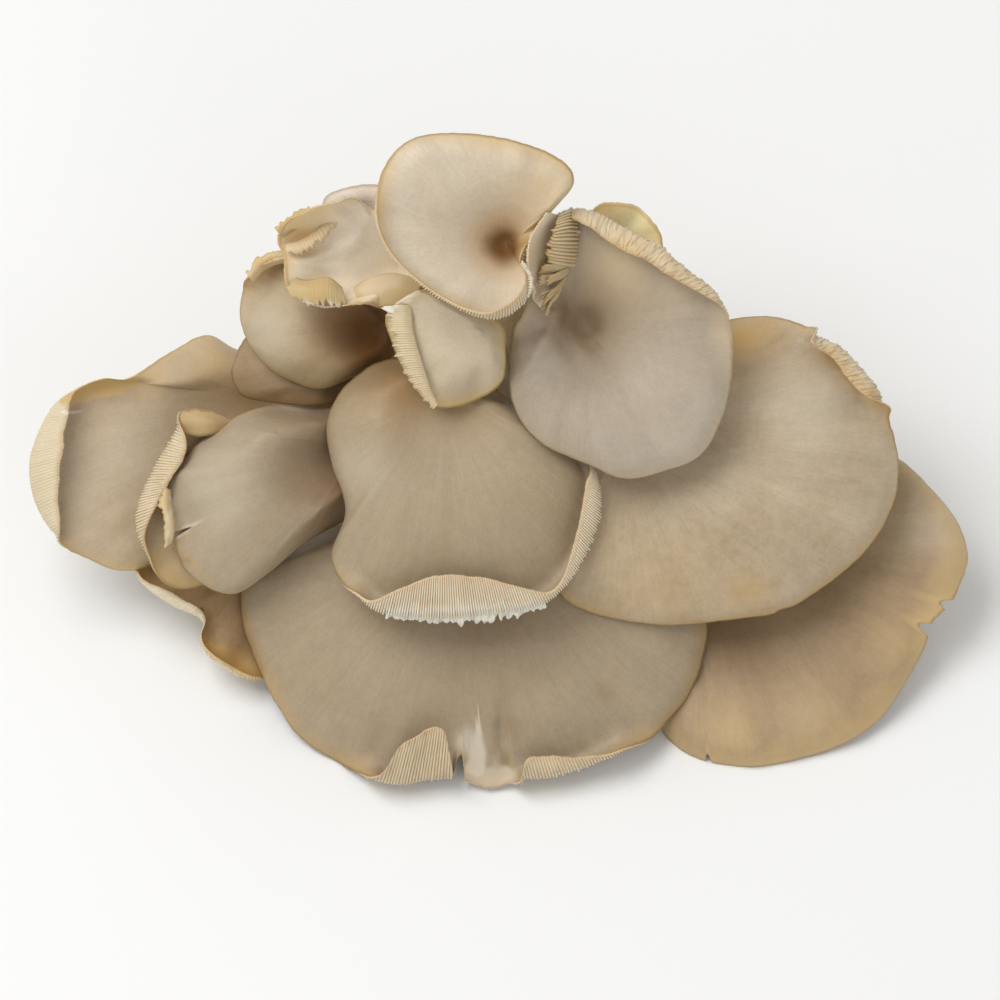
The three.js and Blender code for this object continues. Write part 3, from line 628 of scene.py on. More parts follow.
def mottle_group():
    """Soft blotches, fine flecks, a finer grain and rare tiny dark specks."""
    group, given, out = new_group(
        "Mottle", [("Blotch Size", 48.0), ("Fleck Size", 420.0), ("Grain Size", 1500.0)],
        ["Blotches", "Flecks", "Grain", "Specks"])
    place = group.nodes.new("ShaderNodeTexCoord").outputs["Object"]
    blotch = noise(group, place, given["Blotch Size"], 3.0, 0.55)
    fleck = noise(group, place, given["Fleck Size"], 3.0, 0.65)
    fine = noise(group, place, given["Grain Size"], 2.0, 0.6)
    cell = node(group, "ShaderNodeTexVoronoi", Vector=place, Scale=70.0)
    near = math_node(group, "LESS_THAN", cell.outputs["Distance"], 0.045)
    rare = math_node(group, "GREATER_THAN", cell.outputs["Color"], 0.7)
    group.links.new(ramp(group, blotch, 0.22, 0.78), out["Blotches"])
    group.links.new(ramp(group, fleck, 0.35, 0.65), out["Flecks"])
    group.links.new(ramp(group, fine, 0.3, 0.7), out["Grain"])
    group.links.new(times(group, near, rare), out["Specks"])
    return group


fibres = fibre_group()
mottle = mottle_group()


def place_group(tree, group, **inputs):
    return node(tree, "ShaderNodeGroup", {"node_tree": group}, **inputs).outputs


def flesh_material(name, roughness, radius, weight):
    """A material with soft light under the surface, and its shader and tree."""
    made = bpy.data.materials.new(name)
    made.use_nodes = True
    tree = made.node_tree
    shader = tree.nodes["Principled BSDF"]
    settings = {"Roughness": roughness, "Specular IOR Level": 0.35, "Subsurface Weight": weight,
                "Subsurface Radius": (1.0, 0.62, 0.34), "Subsurface Scale": radius}
    for socket, value in settings.items():
        shader.inputs[socket].default_value = value
    return made, tree, shader


def relief(tree, shader, strength, distance, height):
    """Fine bumps on a surface, distance high in metres."""
    bump = node(tree, "ShaderNodeBump", Strength=strength, Distance=distance, Height=height)
    tree.links.new(bump.outputs[0], shader.inputs["Normal"])


def cap_skin(name, pale, tan, eye, rim, eye_size=9.0, eye_depth=0.85, warm=0.35, band=5.0, halo_and_shade=None):
    """The skin of a cap: fibres from the eye, soft blotches, a dark eye that is partly painted shade,
    painted shade where its mask says, and a thin ochre rim.
    """
    made, tree, shader = flesh_material(name, 0.5, 0.002, 0.2)
    halo_and_shade = halo_and_shade or eye
    pale, tan, eye, rim, halo_and_shade = (tone(*colour) for colour in (pale, tan, eye, rim, halo_and_shade))
    strand = place_group(tree, fibres)
    spots = place_group(tree, mottle)
    edge = attribute(tree, "edge_mm")
    middle = attribute(tree, "eye_mm")
    colour = blend_colour(tree, spots["Blotches"], tan, pale)
    out_there = ramp(tree, middle, 3.0, 20.0)
    broad = times(tree, strand["Bands"], times(tree, out_there, 0.26))
    colour = blend_colour(tree, broad, colour, shaded(tan, 0.7))
    narrow = times(tree, strand["Strands"], times(tree, out_there, 0.2))
    colour = blend_colour(tree, narrow, colour, shaded(tan, 0.6))
    colour = blend_colour(tree, times(tree, spots["Grain"], 0.16), colour, shaded(tan, 0.6))
    colour = blend_colour(tree, times(tree, spots["Flecks"], 0.22), colour, pale)
    # The dark eye and its halo: partly the cap's own darker middle, partly painted shade in the dip over the
    # stem and under the caps that lie over it.
    spread = math_node(tree, "ADD", middle, times(tree, spots["Blotches"], -0.3 * eye_size))
    soft = times(tree, ramp(tree, spread, eye_size, 0.15 * eye_size), 0.6 * eye_depth)
    colour = blend_colour(tree, soft, colour, halo_and_shade)
    eye_core_and_shade = times(tree, ramp(tree, spread, 0.5 * eye_size, 0.0), eye_depth)
    colour = blend_colour(tree, eye_core_and_shade, colour, shaded(eye, 0.6))
    # Painted shade: this mask darkens the skin towards the eye colour in hollows, folds and where other caps
    # lie over it; in a few places it marks skin that is truly browner.
    colour = blend_colour(tree, attribute(tree, "brown"), colour, eye)
    from_rim = math_node(tree, "ADD", edge, times(tree, spots["Blotches"], band * 0.8))
    yellow = times(tree, ramp(tree, from_rim, band * 1.6, 0.8), warm)
    colour = blend_colour(tree, math_node(tree, "MAXIMUM", yellow, attribute(tree, "warm")), colour, rim)
    colour = blend_colour(tree, times(tree, ramp(tree, edge, 1.3, 0.2), 0.7), colour, shaded(rim, 0.62))
    colour = blend_colour(tree, times(tree, spots["Specks"], 0.6), colour, tone(96, 52, 30))
    colour = blend_colour(tree, attribute(tree, "white"), colour, tone(240, 230, 212))
    tree.links.new(colour, shader.inputs["Base Color"])
    rough = node(tree, "ShaderNodeMapRange", Value=strand["Strands"], To_Min=0.42, To_Max=0.58)
    tree.links.new(rough.outputs["Result"], shader.inputs["Roughness"])
    height = math_node(tree, "ADD", narrow, times(tree, spots["Grain"], 0.35))
    relief(tree, shader, 0.3, 0.00012, math_node(tree, "ADD", height, spots["Flecks"]))
    return made


def gill_flesh(name, pale, shade, contrast=0.35):
    """Gills and stem: cream flesh with painted shade between the gills, and dusty in places."""
    made, tree, shader = flesh_material(name, 0.6, 0.0018, 0.3)
    pale, shade = tone(*pale), tone(*shade)
    spots = place_group(tree, mottle, Blotch_Size=110.0, Fleck_Size=700.0)
    # Painted shade: the deeper between two gills a point lies, the more it takes the shade colour.
    colour = blend_colour(tree, times(tree, attribute(tree, "deep"), contrast), pale, shade)
    colour = blend_colour(tree, times(tree, spots["Blotches"], 0.3), colour, shade)
    browned = times(tree, ramp(tree, attribute(tree, "edge_mm"), 1.2, 0.1), 0.35)
    colour = blend_colour(tree, browned, colour, tone(176, 132, 66))
    colour = blend_colour(tree, attribute(tree, "warm"), colour, tone(206, 172, 108))
    colour = blend_colour(tree, attribute(tree, "white"), colour, tone(244, 236, 220))
    tree.links.new(colour, shader.inputs["Base Color"])
    relief(tree, shader, 0.3, 0.0001, spots["Flecks"])
    return made


def put_in_cluster(piece, stands_for):
    """The piece in the scene, in the place of its solid."""
    bpy.context.scene.collection.objects.link(piece)
    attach(piece, "root")
    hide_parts(stands_for)


def grow_mushroom(name, stands_for, skin, gills=None, **cap):
    """A finished mushroom: its mesh, its two surfaces and its place in the cluster."""
    title = name.replace("_", " ")
    piece = bpy.data.objects.new(name, mushroom_mesh(name, cap))
    piece.data.materials.append(cap_skin(title + " skin", **skin))
    piece.data.materials.append(gill_flesh(title + " gills", **gills) if gills else cream_gills)
    put_in_cluster(piece, stands_for)


cream_gills = gill_flesh("cream gills", (226, 210, 180), (186, 158, 114))
grow_mushroom(
    "top_cap", "mushroom_top",
    skin=dict(pale=(224, 210, 188), tan=(216, 199, 172), eye=(134, 86, 20), rim=(212, 178, 114),
              eye_size=10.5, eye_depth=0.92, warm=0.6, band=6, halo_and_shade=(186, 150, 96)),
    sheets=[
        dict(seed=191, thick=0.6, front=0.3, ragged=1.2, white=0.5, rows=[
            [(2, 36.8, 35.5), (6, 40.5, 34.5), (7, 45, 33.5), (5.2, 48.5, 33)],
            [(3, 36.2, 37.5), (7.2, 40.5, 37), (8, 45.5, 36.5), (5.6, 50, 35)]]),
    ],
    seed=11, torn=0.8, eye=(1.5, 54, 24), foot=(5, 36, 45), crown=2, funnel=(6, 10), stem=4.6,
    warm_spots=[(11, 67, 8, 0.35)],
    rim=[
        (-9, 81, 33, -40), (-21, 80, 34, -50), (-27.5, 74.5, 35, -30), (-31, 66, 36, 30),
        (-31.5, 59, 36, 60), (-28, 51, 36, 70), (-20, 43, 36, 75), (-10, 37, 36, 80),
        (-1, 35, 35, 110, 9), (5.5, 38.5, 34, 130, 11), (7.4, 44, 32, 140, 10), (5.4, 49.5, 30, 90),
        (9, 57, 27, 0), (13, 62, 28, -20), (18.4, 69, 31, -30), (15, 74.5, 32, -30), (4, 79, 33, -40),
    ])

# Upper right cap.
# A round cap with a deep brown eye, partly painted shade, and a rolled, pale rim along its top. Its skin
# folds into the dip over the stem, with painted shade in the fold, and a bunch of torn gills stands up
# between it and the top cap.
grow_mushroom(
    "upper_right_cap", "mushroom_upper_right",
    skin=dict(pale=(190, 176, 156), tan=(180, 164, 142), eye=(128, 90, 36), rim=(222, 200, 160), eye_size=12,
              eye_depth=0.5, warm=0.35, halo_and_shade=(158, 128, 86)),
    seed=23, eye=(21, 34, 8), foot=(15, 26, 37), crown=3, funnel=(7, 12), stem=5,
    warm_spots=[(30, 48, 9, 0.55), (44, 44, 6, 0.3), (10, 50, 5, 0.6)],
    rim_gills=0.08, granular=0.55, ruffle=0.8,
    # Painted shade in the hollow and fold by the eye, and a darker patch higher up.
    brown_spots=[(27, 46, 11, 0.35), (13.5, 39, 5, 0.5), (16, 38, 17.6, 31.5, 1.6, 2.4, 0.36),
                 (17.6, 31.5, 24, 28.5, 2.4, 1.4, 0.32), (22, 36, 24, 33, 1.4, 0.8, 0.22)],
    white_spots=[(14, 26, 6, 0.25), (44, 4, 18, 0.12)],
    dents=[(11, 30, 60, 6, 2.2, 3.0), (16, 29, -60, 6, 1.6, -2.4), (17, 40, 80, 6, 1.8, -2.0),
           (13.5, 36.5, 20, 4, 1.2, 1.2), (24, 27, -20, 7, 1.6, -0.9)],
    sheets=[
        dict(seed=201, ragged=1.2, white=0.3, rows=[
            [(20, 57, 17), (15, 50, 15), (12, 43, 13.5), (10, 38, 13)],
            [(14, 61, 24), (9, 53, 24), (8, 46, 22), (8.5, 40, 18)],
            [(11.5, 61.5, 31), (7.5, 55, 33), (7, 48, 31), (9, 42, 24)]]),
        dict(seed=203, thick=0.5, front=0.7, back=0.5, ragged=2.6, spacing=0.85, warm=0.25, rows=[
            [(18.8, 62.5, 16), (19.6, 58, 15), (19.8, 53, 13), (19, 48, 11.5)],
            [(16.8, 62, 23), (16.6, 58, 24), (16, 53, 22.5), (15.2, 48.5, 20)],
            [(14, 60.5, 26), (12.6, 57, 28), (11.2, 53.5, 27), (10.6, 49.5, 24)]]),
    ] + [
        dict(seed=210 + k, thick=0.4, front=0.3, ragged=1.8, warm=warm, rows=[
            [(19 - 0.6 * k, 52 - 1.5 * k, 13), (18.6 - 0.6 * k, 51 - 1.5 * k, 11)],
            [(16 - 0.5 * k, 50.5 - 1.5 * k + lean, 20 - 0.4 * k),
             (15.4 - 0.5 * k, 48.8 - 1.5 * k + lean, 18)],
            [(12.4 - out, 49.5 - 1.5 * k + 2 * lean, 25 - 0.6 * k),
             (11.6 - out, 47 - 1.5 * k + 2 * lean, 21)]])
        for k, (out, lean, warm) in enumerate((
            (0.5, 0.8, 0.1), (2.8, 0.2, 0), (0.8, -0.6, 0.5), (3.2, 0.4, 0),
            (1.2, -1.4, 0.6), (2.4, -0.2, 0.1), (0.2, -1.2, 0), (1.6, 0.2, 0.3)))
    ],
    rim=[
        (11, 60, 15, 60), (16, 62.5, 16, 120), (22.5, 62.5, 18, 150, 9.5), (32.5, 57, 18, 155, 10),
        (40, 53.5, 18, 155, 10), (46, 48, 17, 150, 9.5), (54, 42, 16, 140, 9), (57.5, 35, 15, 50),
        (57.5, 20, 14, -50), (54.5, 9, 13, -60), (49.5, 1, 12, -70), (40, -2.7, 12, -70),
        (31, -4.5, 12, -70), (22.5, -1, 13, -60), (11, 4, 13, -60), (4.7, 11, 12, -60),
        (2.6, 19, 11, -50), (2.9, 30, 11, -40), (6, 37, 12, 10), (8.5, 46, 13, 70), (9.5, 54, 14, 70),
    ])

# Tongue cap.
# A small cap in the middle, curled like a tongue: its left rim turns over and bares short cream gills.
grow_mushroom(
    "tongue_cap", "mushroom_tongue",
    skin=dict(pale=(224, 210, 184), tan=(212, 195, 164), eye=(150, 120, 82), rim=(210, 176, 108), eye_size=4,
              eye_depth=0.1, warm=0.7, band=5),
    sheets=[
        dict(seed=195, thick=0.3, front=0.22, ragged=1.8, spacing=0.65, warm=0.35, white=0.15, rows=[
            [(-22, 38.5, 22), (-21.5, 32, 21.8), (-19.6, 25, 20.4),
             (-17.5, 18.5, 17.7), (-15.4, 13.8, 15.6)],
            [(-24.8, 38.6, 23.2), (-24.2, 32, 22.6), (-22, 25, 21),
             (-19, 18.5, 18.4), (-15.8, 13.4, 16)],
            [(-29.4, 38.2, 21.6), (-28.6, 32, 20.2), (-26.1, 24.5, 19),
             (-22.1, 17.5, 17), (-16.8, 12.2, 15.2)]]),
        dict(seed=196, thick=0.5, back=0.2, white=0.8, rows=[
            [(-25, 36, 22.4), (-23.8, 38.8, 22.4)],
            [(-27.8, 36.8, 22.6), (-26.6, 38.4, 22.6)],
            [(-29.8, 37.9, 22.6), (-29.3, 38.3, 22.6)]]),
    ],
    brown_spots=[(-9, 17, 8, 0.3)], white_spots=[(-27.5, 37.5, -20.5, 42, 0.9, 0.4, 0.7)],
    seed=31, eye=(-5, 32, 19), foot=(5, 26, 42), crown=1.5, funnel=(2, 6), stem=3.8,
    rim=[
        (-20.5, 42.5, 22, 30), (-24.5, 40, 22, 20), (-28.5, 36, 21, -20), (-27.5, 31.5, 20, -50),
        (-25, 25, 19, -62), (-21, 18, 17, -62), (-16, 13.3, 16, -55), (-7.5, 14.5, 15, -40),
        (0, 19, 15, -50), (1.2, 23, 15, -50), (1.1, 28, 15, -40), (0.5, 33.5, 14, -20),
        (-6, 38, 15, -20), (-14, 41.5, 18, 0),
    ])

# Ruffled cap and the small pink cap behind it.
# A torn, wavy funnel seen from inside, smooth and pinkish cream, with its rim rolled in folds; a little
# smooth cap fills the gap behind it.
grow_mushroom(
    "ruffled_cap", "mushroom_ruffled",
    skin=dict(pale=(255, 244, 224), tan=(250, 234, 208), eye=(190, 156, 112), rim=(218, 184, 118),
              eye_size=5, eye_depth=0.2, warm=0.6, band=6),
    gills=dict(pale=(206, 188, 150), shade=(188, 160, 110), contrast=0.2),
    seed=43, eye=(-25, 48.5, 11), foot=(-6, 38, 41), crown=0, funnel=(5, 9), stem=4,
    ruffle=2.2, curl=16, rim_gills=0.2, granular=0.4,
    white_spots=[(-37, 60, 8, 0.4), (-33, 42, -24, 50, 2, 5, 0.25), (-50.5, 39.2, -39, 38, 0.5, 0.5, 0.55)],
    warm_spots=[(-50, 57, 6, 0.8), (-45, 62, 5, 0.7), (-46, 41.5, 5, 0.6), (-51, 43, 4, 0.5)],
    dents=[(-42, 52, 20, 9, 1.6, 1.4), (-44, 46, -10, 7, 2, -1.5), (-36, 55, 60, 6, 1.8, 1.1)],
    sheets=[
        dict(seed=211, thick=0.7, front=0.12, back=0.2, ragged=1.8, spacing=0.9, white=0.25, warm=0.2, rows=[
            [(-53.4, 53.8, 21.5), (-50, 54.6, 22.5), (-46, 57, 23), (-41.6, 61, 21.5)],
            [(-53, 52, 23.2), (-49.6, 52.8, 24.2), (-45.2, 55.2, 24.8), (-40.6, 59.6, 22.2)],
            [(-52.4, 50.6, 22), (-48.6, 50.9, 23), (-44.2, 53.4, 23.6), (-39.6, 58.2, 21.5)]]),
        dict(seed=213, back=0.2, ragged=0.4, warm=0.3, rows=[
            [(-36.5, 43, 17.5), (-32, 45.4, 17), (-26.5, 46.4, 15), (-19.5, 44.6, 14)],
            [(-36.2, 41.4, 18.8), (-31.5, 42.6, 19), (-26, 42.8, 18), (-20, 42.6, 17)],
            [(-35, 39.4, 18.8), (-31, 38.4, 19), (-26.6, 37.8, 18.6), (-21.5, 39.6, 17.6)]]),
        dict(seed=215, thick=0.5, front=0.06, ragged=2.4, spacing=0.7, warm=0.2, rows=[
            [(-53, 46.4, 21.6), (-48.5, 44.6, 22.4), (-43, 45.4, 22), (-39.4, 43, 20.6)],
            [(-53, 43, 24.4), (-47.8, 42.2, 25.4), (-43, 42.2, 24.8), (-38.8, 40.8, 22.6)],
            [(-51.2, 39.4, 24), (-47, 37.4, 24), (-42.5, 36.8, 23.6), (-38, 38, 21.6)]]),
        dict(seed=217, thick=0.5, back=0.2, ragged=1.6, spacing=0.9, warm=0.6, rows=[
            [(-54, 55.4, 21.5), (-50, 58, 23.5), (-46, 60.8, 25)],
            [(-55.6, 57, 23.4), (-51.6, 59.8, 25.6), (-47, 62.4, 27)],
            [(-56.6, 58.4, 22.6), (-52.6, 61.4, 25), (-48, 63.8, 26.4)]]),
    ],
    rim=[
        (-56, 55, 20, 40, 6), (-54, 59.5, 23, 80, 7), (-48, 62.5, 26, 95, 8), (-42, 64.5, 25, 95, 8),
        (-37, 66, 22, 60, 7), (-31, 62, 18, 0), (-22, 58, 16, -20), (-17, 51, 15, -20),
        (-19, 44.5, 17, -30), (-25, 40.5, 18, -30), (-28.5, 38, 16.5, -20), (-33, 38.5, 19.5, 30),
        (-39, 38, 18, 70, 6), (-45, 37.7, 19, 85, 6), (-51, 40, 20, 85, 6), (-54.6, 45.5, 21, 50, 5),
        (-53.4, 50, 20, 10, 5),
    ])
grow_mushroom(
    "small_pink_cap", "mushroom_small_pink",
    skin=dict(pale=(242, 232, 222), tan=(234, 220, 208), eye=(190, 160, 130), rim=(214, 190, 152),
              eye_size=4, eye_depth=0.2, warm=0.2),
    seed=47, eye=(-33, 59, 3), foot=(-14, 45, 28), crown=2, stem=3.2,
    rim=[
        (-43.5, 65.5, 8, -30), (-39, 67.5, 9, -40), (-31, 68.5, 9, -40), (-25, 65, 8, -30),
        (-24, 58, 4, -20), (-30, 53, 1, -20), (-38, 54, 3, -20), (-44, 60, 6, -20),
    ])

# Centre cap.
# The smooth, domed cap in the middle of the bunch. Its lower and right rims curl up and over, so a comb
# of cream gills shows outside a crisp edge of skin.
grow_mushroom(
    "centre_cap", "mushroom_centre",
    skin=dict(pale=(184, 166, 138), tan=(174, 154, 124), eye=(156, 120, 66), rim=(186, 152, 96), eye_size=10,
              eye_depth=0.3, warm=0.3),
    gills=dict(pale=(240, 226, 200), shade=(196, 170, 126), contrast=0.45),
    seed=59, torn=1.0, eye=(-14, 17, 5), foot=(-6, 19, 38), crown=5, stem=5.2,
    rim_gills=0.9, curl=1.5, ruffle=0.2, gill_spacing=0.66,
    # Painted shade where the tongue cap lies over this one, and faint darker marks lower down.
    brown_spots=[(-24, 19, 10, 0.75), (-8, 13, 10, 0.3), (-15, -24, 3, 0.12), (16, -14, 9, 0.12)],
    white_spots=[(-36, -2, 7, 0.15), (-27, -38.2, 10, -36.8, 1.3, 1.3, 0.7)],
    sheets=[
        dict(seed=261, thick=0.5, front=0.1, back=0.2, ragged=2.3, spacing=0.9, white=0.85, rows=[
            [(-28, -36.2, 4.4), (-18, -36.4, 6), (-8, -36.2, 6.2), (2, -35.4, 6), (11, -34.2, 4)],
            [(-28.4, -38.4, 4.2), (-18, -38.9, 5.6), (-8, -38.8, 5.8), (2, -37.8, 5.6), (11.4, -35.8, 3.8)],
            [(-28.8, -40.2, 2.6), (-18, -41.6, 3), (-8, -41.8, 3), (2, -40.6, 3), (11.8, -37.4, 2.6)]]),
    ],
    rim=[
        (-37, 20, 4, -50), (-41.5, 14, 3, -70), (-43.2, 7.5, 2, -80), (-41.5, -2, 2, -80),
        (-39.2, -8, 2, -80), (-38.7, -14, 1, -80), (-42, -22.5, 0, -60), (-41.5, -27, 0, -40),
        (-38.5, -32, 0, 20), (-34, -36, 0, 90), (-27.5, -38.5, 1, 130, 14), (-15, -39.7, 2, 145, 18),
        (0, -38.5, 2, 142, 16), (9, -36.5, 2, 135, 11), (14.5, -33.5, 1, 110), (20, -26, 1, 130, 10),
        (24, -16, 1, 140, 11), (25, -8, 1, 140, 10), (23, -1, 0, 80), (17, 5, 0, -30), (8, 12, 1, -40),
        (2, 15, 1, -40), (-4, 20, 2, -40), (-14, 23.5, 3, -40), (-28, 25, 4, -40),
    ])

# Left front cap and the cap behind it.
# A thumb-like dome with a torn left edge, and behind it a flatter cap whose rolled rim shows its gills.
grow_mushroom(
    "left_front_cap", "mushroom_left_front",
    skin=dict(pale=(184, 168, 142), tan=(176, 156, 128), eye=(104, 64, 22), rim=(190, 158, 100), eye_size=12,
              eye_depth=0.6, warm=0.35),
    seed=61, eye=(-36, 3, -13), foot=(-18, 14, 24), crown=11, stem=4.4,
    notches=[(-81, -19, 0.5, 6)],
    # Painted shade where the centre cap's edge lies over this cap, and a small dark mark at the notch.
    brown_spots=[(-38, -6, 17, 0.65), (-42, -13, 8, 0.3), (-79.6, -25, 1.4, 0.5)],
    warm_spots=[(-80.6, -21.5, -72.5, -31, 0.7, 0.8, 0.45)],
    white_spots=[(-80.5, -18.6, -74.4, -14.6, 1.1, 0.1, 0.45), (-82.5, -10, -82.5, -19, 0.6, 0.6, 0.5),
                 (-73, -7, 12, 0.16)],
    sheets=[
        dict(seed=221, thick=0.4, ragged=1.5, warm=0.65, rows=[
            [(-82.4, -7.5, -9), (-82.2, -11.5, -8.6), (-81.4, -16, -8.6), (-82, -20.5, -9)],
            [(-83.6, -7, -7), (-83.8, -11, -5.6), (-83, -15.5, -5.6), (-83.4, -21.6, -7.5)],
            [(-84.6, -6.5, -8), (-86, -11, -6.6), (-84.6, -15.5, -6.6), (-84.2, -22.4, -8)]]),
    ],
    rim=[
        (-84.2, -6, -7, -50), (-80, -1, -6, -60), (-75, 4.5, -6, -60), (-66, 10.8, -7, -60),
        (-58, 13.5, -9, -50), (-50, 14.3, -12, -40), (-40, 15, -14, -30), (-30, 10, -16, -30),
        (-28, 0, -16, -40), (-32, -11, -15, -50), (-43, -17, -13, -60), (-50, -21.5, -11, -70),
        (-59, -29, -9, -80), (-67, -33.5, -8, -80), (-75, -30.5, -8, -70), (-80, -25.5, -8, -50),
        (-81.5, -18, -8, -20),
    ])
grow_mushroom(
    "left_behind_cap", "mushroom_left_behind",
    skin=dict(pale=(200, 178, 142), tan=(186, 162, 122), eye=(140, 108, 70), rim=(196, 160, 94), eye_size=8,
              eye_depth=0.5, warm=0.5),
    seed=67, eye=(-60, -3, -20), foot=(-22, 9, 15), crown=1, stem=3.8,
    rim_gills=0.5, torn=0.8, granular=0.25,
    sheets=[
        dict(seed=231, thick=0.7, back=0.4, ragged=1.0, skin=True, warm=0.35, rows=[
            [(-66.5, 8, -14), (-71, 6.8, -11), (-75, 6, -10), (-79.5, 6.5, -11)],
            [(-67, 9.5, -13), (-72, 9.8, -9.5), (-76, 9.8, -9), (-80, 9.5, -10)],
            [(-67.5, 10.2, -14), (-72.5, 12.8, -12), (-77, 13.4, -11), (-81, 12.4, -12)]]),
    ],
    rim=[
        (-80.5, 12.3, -14, 30), (-73, 12.5, -16, -20), (-67, 9.5, -18, -40), (-61, 5, -20, -40),
        (-55, -2, -21, -40), (-56, -12, -22, -40), (-62, -24, -22, -40), (-73, -30.5, -19, -40),
        (-80, -32.3, -18, -40), (-85.5, -29.5, -17, 0), (-89.8, -22, -16, 90), (-91.3, -14, -15, 140, 11),
        (-89, -7, -15.5, 140, 12), (-85.3, 0.5, -15.5, 140, 12), (-81.5, 7, -15, 120, 10),
    ])

# Upper left dome and the small cap under it.
# A smooth tan dome, darker towards its stem partly by painted shade under the ruffled cap, and below it the
# shoulder of a smaller brown cap.
grow_mushroom(
    "upper_left_dome", "mushroom_upper_left",
    skin=dict(pale=(190, 170, 136), tan=(172, 148, 108), eye=(124, 78, 28), rim=(196, 156, 86), eye_size=20,
              eye_depth=0.7, warm=0.4),
    seed=71, eye=(-31, 32, -3), foot=(-12, 28, 36), crown=9, funnel=(2, 8), stem=4.2,
    rim_gills=0.15, granular=0.6, warm_spots=[(-60, 50, 5, 0.7)],
    # Painted shade under the ruffled cap and in the dip by the stem, and a small dark mark on the rim.
    brown_spots=[(-43, 38, 9, 0.35), (-33, 27, 6, 0.5), (-56.5, 46.5, 2, 0.8)],
    white_spots=[(-58, 34, 9, 0.3)],
    sheets=[
        dict(seed=271, thick=0.7, ragged=1.6, spacing=0.9, warm=0.45, rows=[
            [(-61.5, 44.4, 5), (-59.2, 47.2, 6.5), (-56.5, 48.8, 7.5), (-53.5, 49.4, 8)],
            [(-62.8, 45.8, 7.4), (-60.4, 48.8, 9.2), (-57.4, 50.6, 10), (-54, 51, 10.2)],
            [(-63.8, 47.2, 6), (-61.4, 50.4, 7.6), (-58, 52.4, 8.6), (-54.4, 52.6, 9)]]),
    ],
    rim=[
        (-59, 50.5, 5, 110, 10), (-63, 46, 3, 40), (-64.5, 42, 1, -50), (-64.5, 34, 0, -70),
        (-61, 27, 0, -80), (-55, 21.5, 0, -80), (-45, 18, -1, -80), (-37, 21, -3, -70),
        (-30, 24, -4, -60), (-26, 28, -4, -50), (-26, 35, -4, -40), (-32, 42, -2, -30),
        (-42, 49, 2, 0), (-52, 53, 5, 110, 10),
    ])
grow_mushroom(
    "dome_behind_cap", "mushroom_behind_dome",
    skin=dict(pale=(168, 144, 112), tan=(150, 126, 92), eye=(110, 78, 44), rim=(176, 140, 86), eye_size=12,
              eye_depth=0.6, warm=0.25),
    seed=73, eye=(-44, 23, -13), foot=(-22, 29, 26), crown=5, funnel=(1, 6), stem=3.4,
    rim=[
        (-63, 31, -10, -30), (-66, 26, -10, -60), (-67, 22, -10, -60), (-65, 16.5, -10, -60),
        (-56, 14.5, -10, -60), (-46, 14, -11, -50), (-39, 16.5, -12, -40), (-37, 26, -14, -30),
        (-44, 33, -13, -30), (-54, 34.5, -11, -30),
    ])

# Right cap.
# A broad, smooth fan, pinkish greige with a yellower shoulder, its upper right rim torn and rolled over.
grow_mushroom(
    "right_cap", "mushroom_right",
    skin=dict(pale=(208, 190, 162), tan=(180, 158, 126), eye=(160, 124, 78), rim=(206, 168, 100),
              eye_size=12, eye_depth=0.35, warm=0.45, band=6),
    seed=83, eye=(30, 7, -9), foot=(23, 14, 23), crown=7, funnel=(1, 9), stem=5.2,
    notches=[(71, -38, 2.0, 1.2)],
    warm_spots=[(61, 31, 5, 0.85), (66, 33, 6, 0.5), (62, -33, 6, 0.4), (82, 27, 95, 14, 1.6, 1.6, 0.55),
                (40, -36, 14, 0.2)],
    # Painted shade in a hollow of the upper skin and in the crease under the rolled rim; smaller darker
    # marks elsewhere.
    brown_spots=[(62, 24, 7, 0.4), (22, 2, 12, 0.2), (69, -31, 2, 0.4), (84, 22, 92, 13, 0.8, 0.8, 0.3)],
    white_spots=[(78, 14, 12, 0.2)], rim_gills=0.1, granular=0.7, wider=0.8, ruffle=0.8,
    rim=[
        (57.5, 34.8, -6, -40), (67.5, 35.6, -7, -50), (76, 33.5, -8, -10), (80.5, 31, -8, 115, 11),
        (86.5, 27, -9, 140, 10), (95, 17, -10, 130, 11), (97.3, 9.5, -11, -30), (99.2, 0, -12, -60),
        (98.2, -10, -12, -70), (93, -20, -11, -70), (85, -28, -10, -70), (71, -37, -8, -70),
        (57.5, -39.3, -7, -70), (42.5, -40.7, -7, -70), (30, -39.3, -6, -70), (20, -36.5, -5, -60),
        (15, -32, -6, -50), (17, -22, -5, -50), (18, -8, -6, -40), (20, 6, -9, -30),
        (30, 20, -11, -30), (44, 30, -8, -40),
    ])

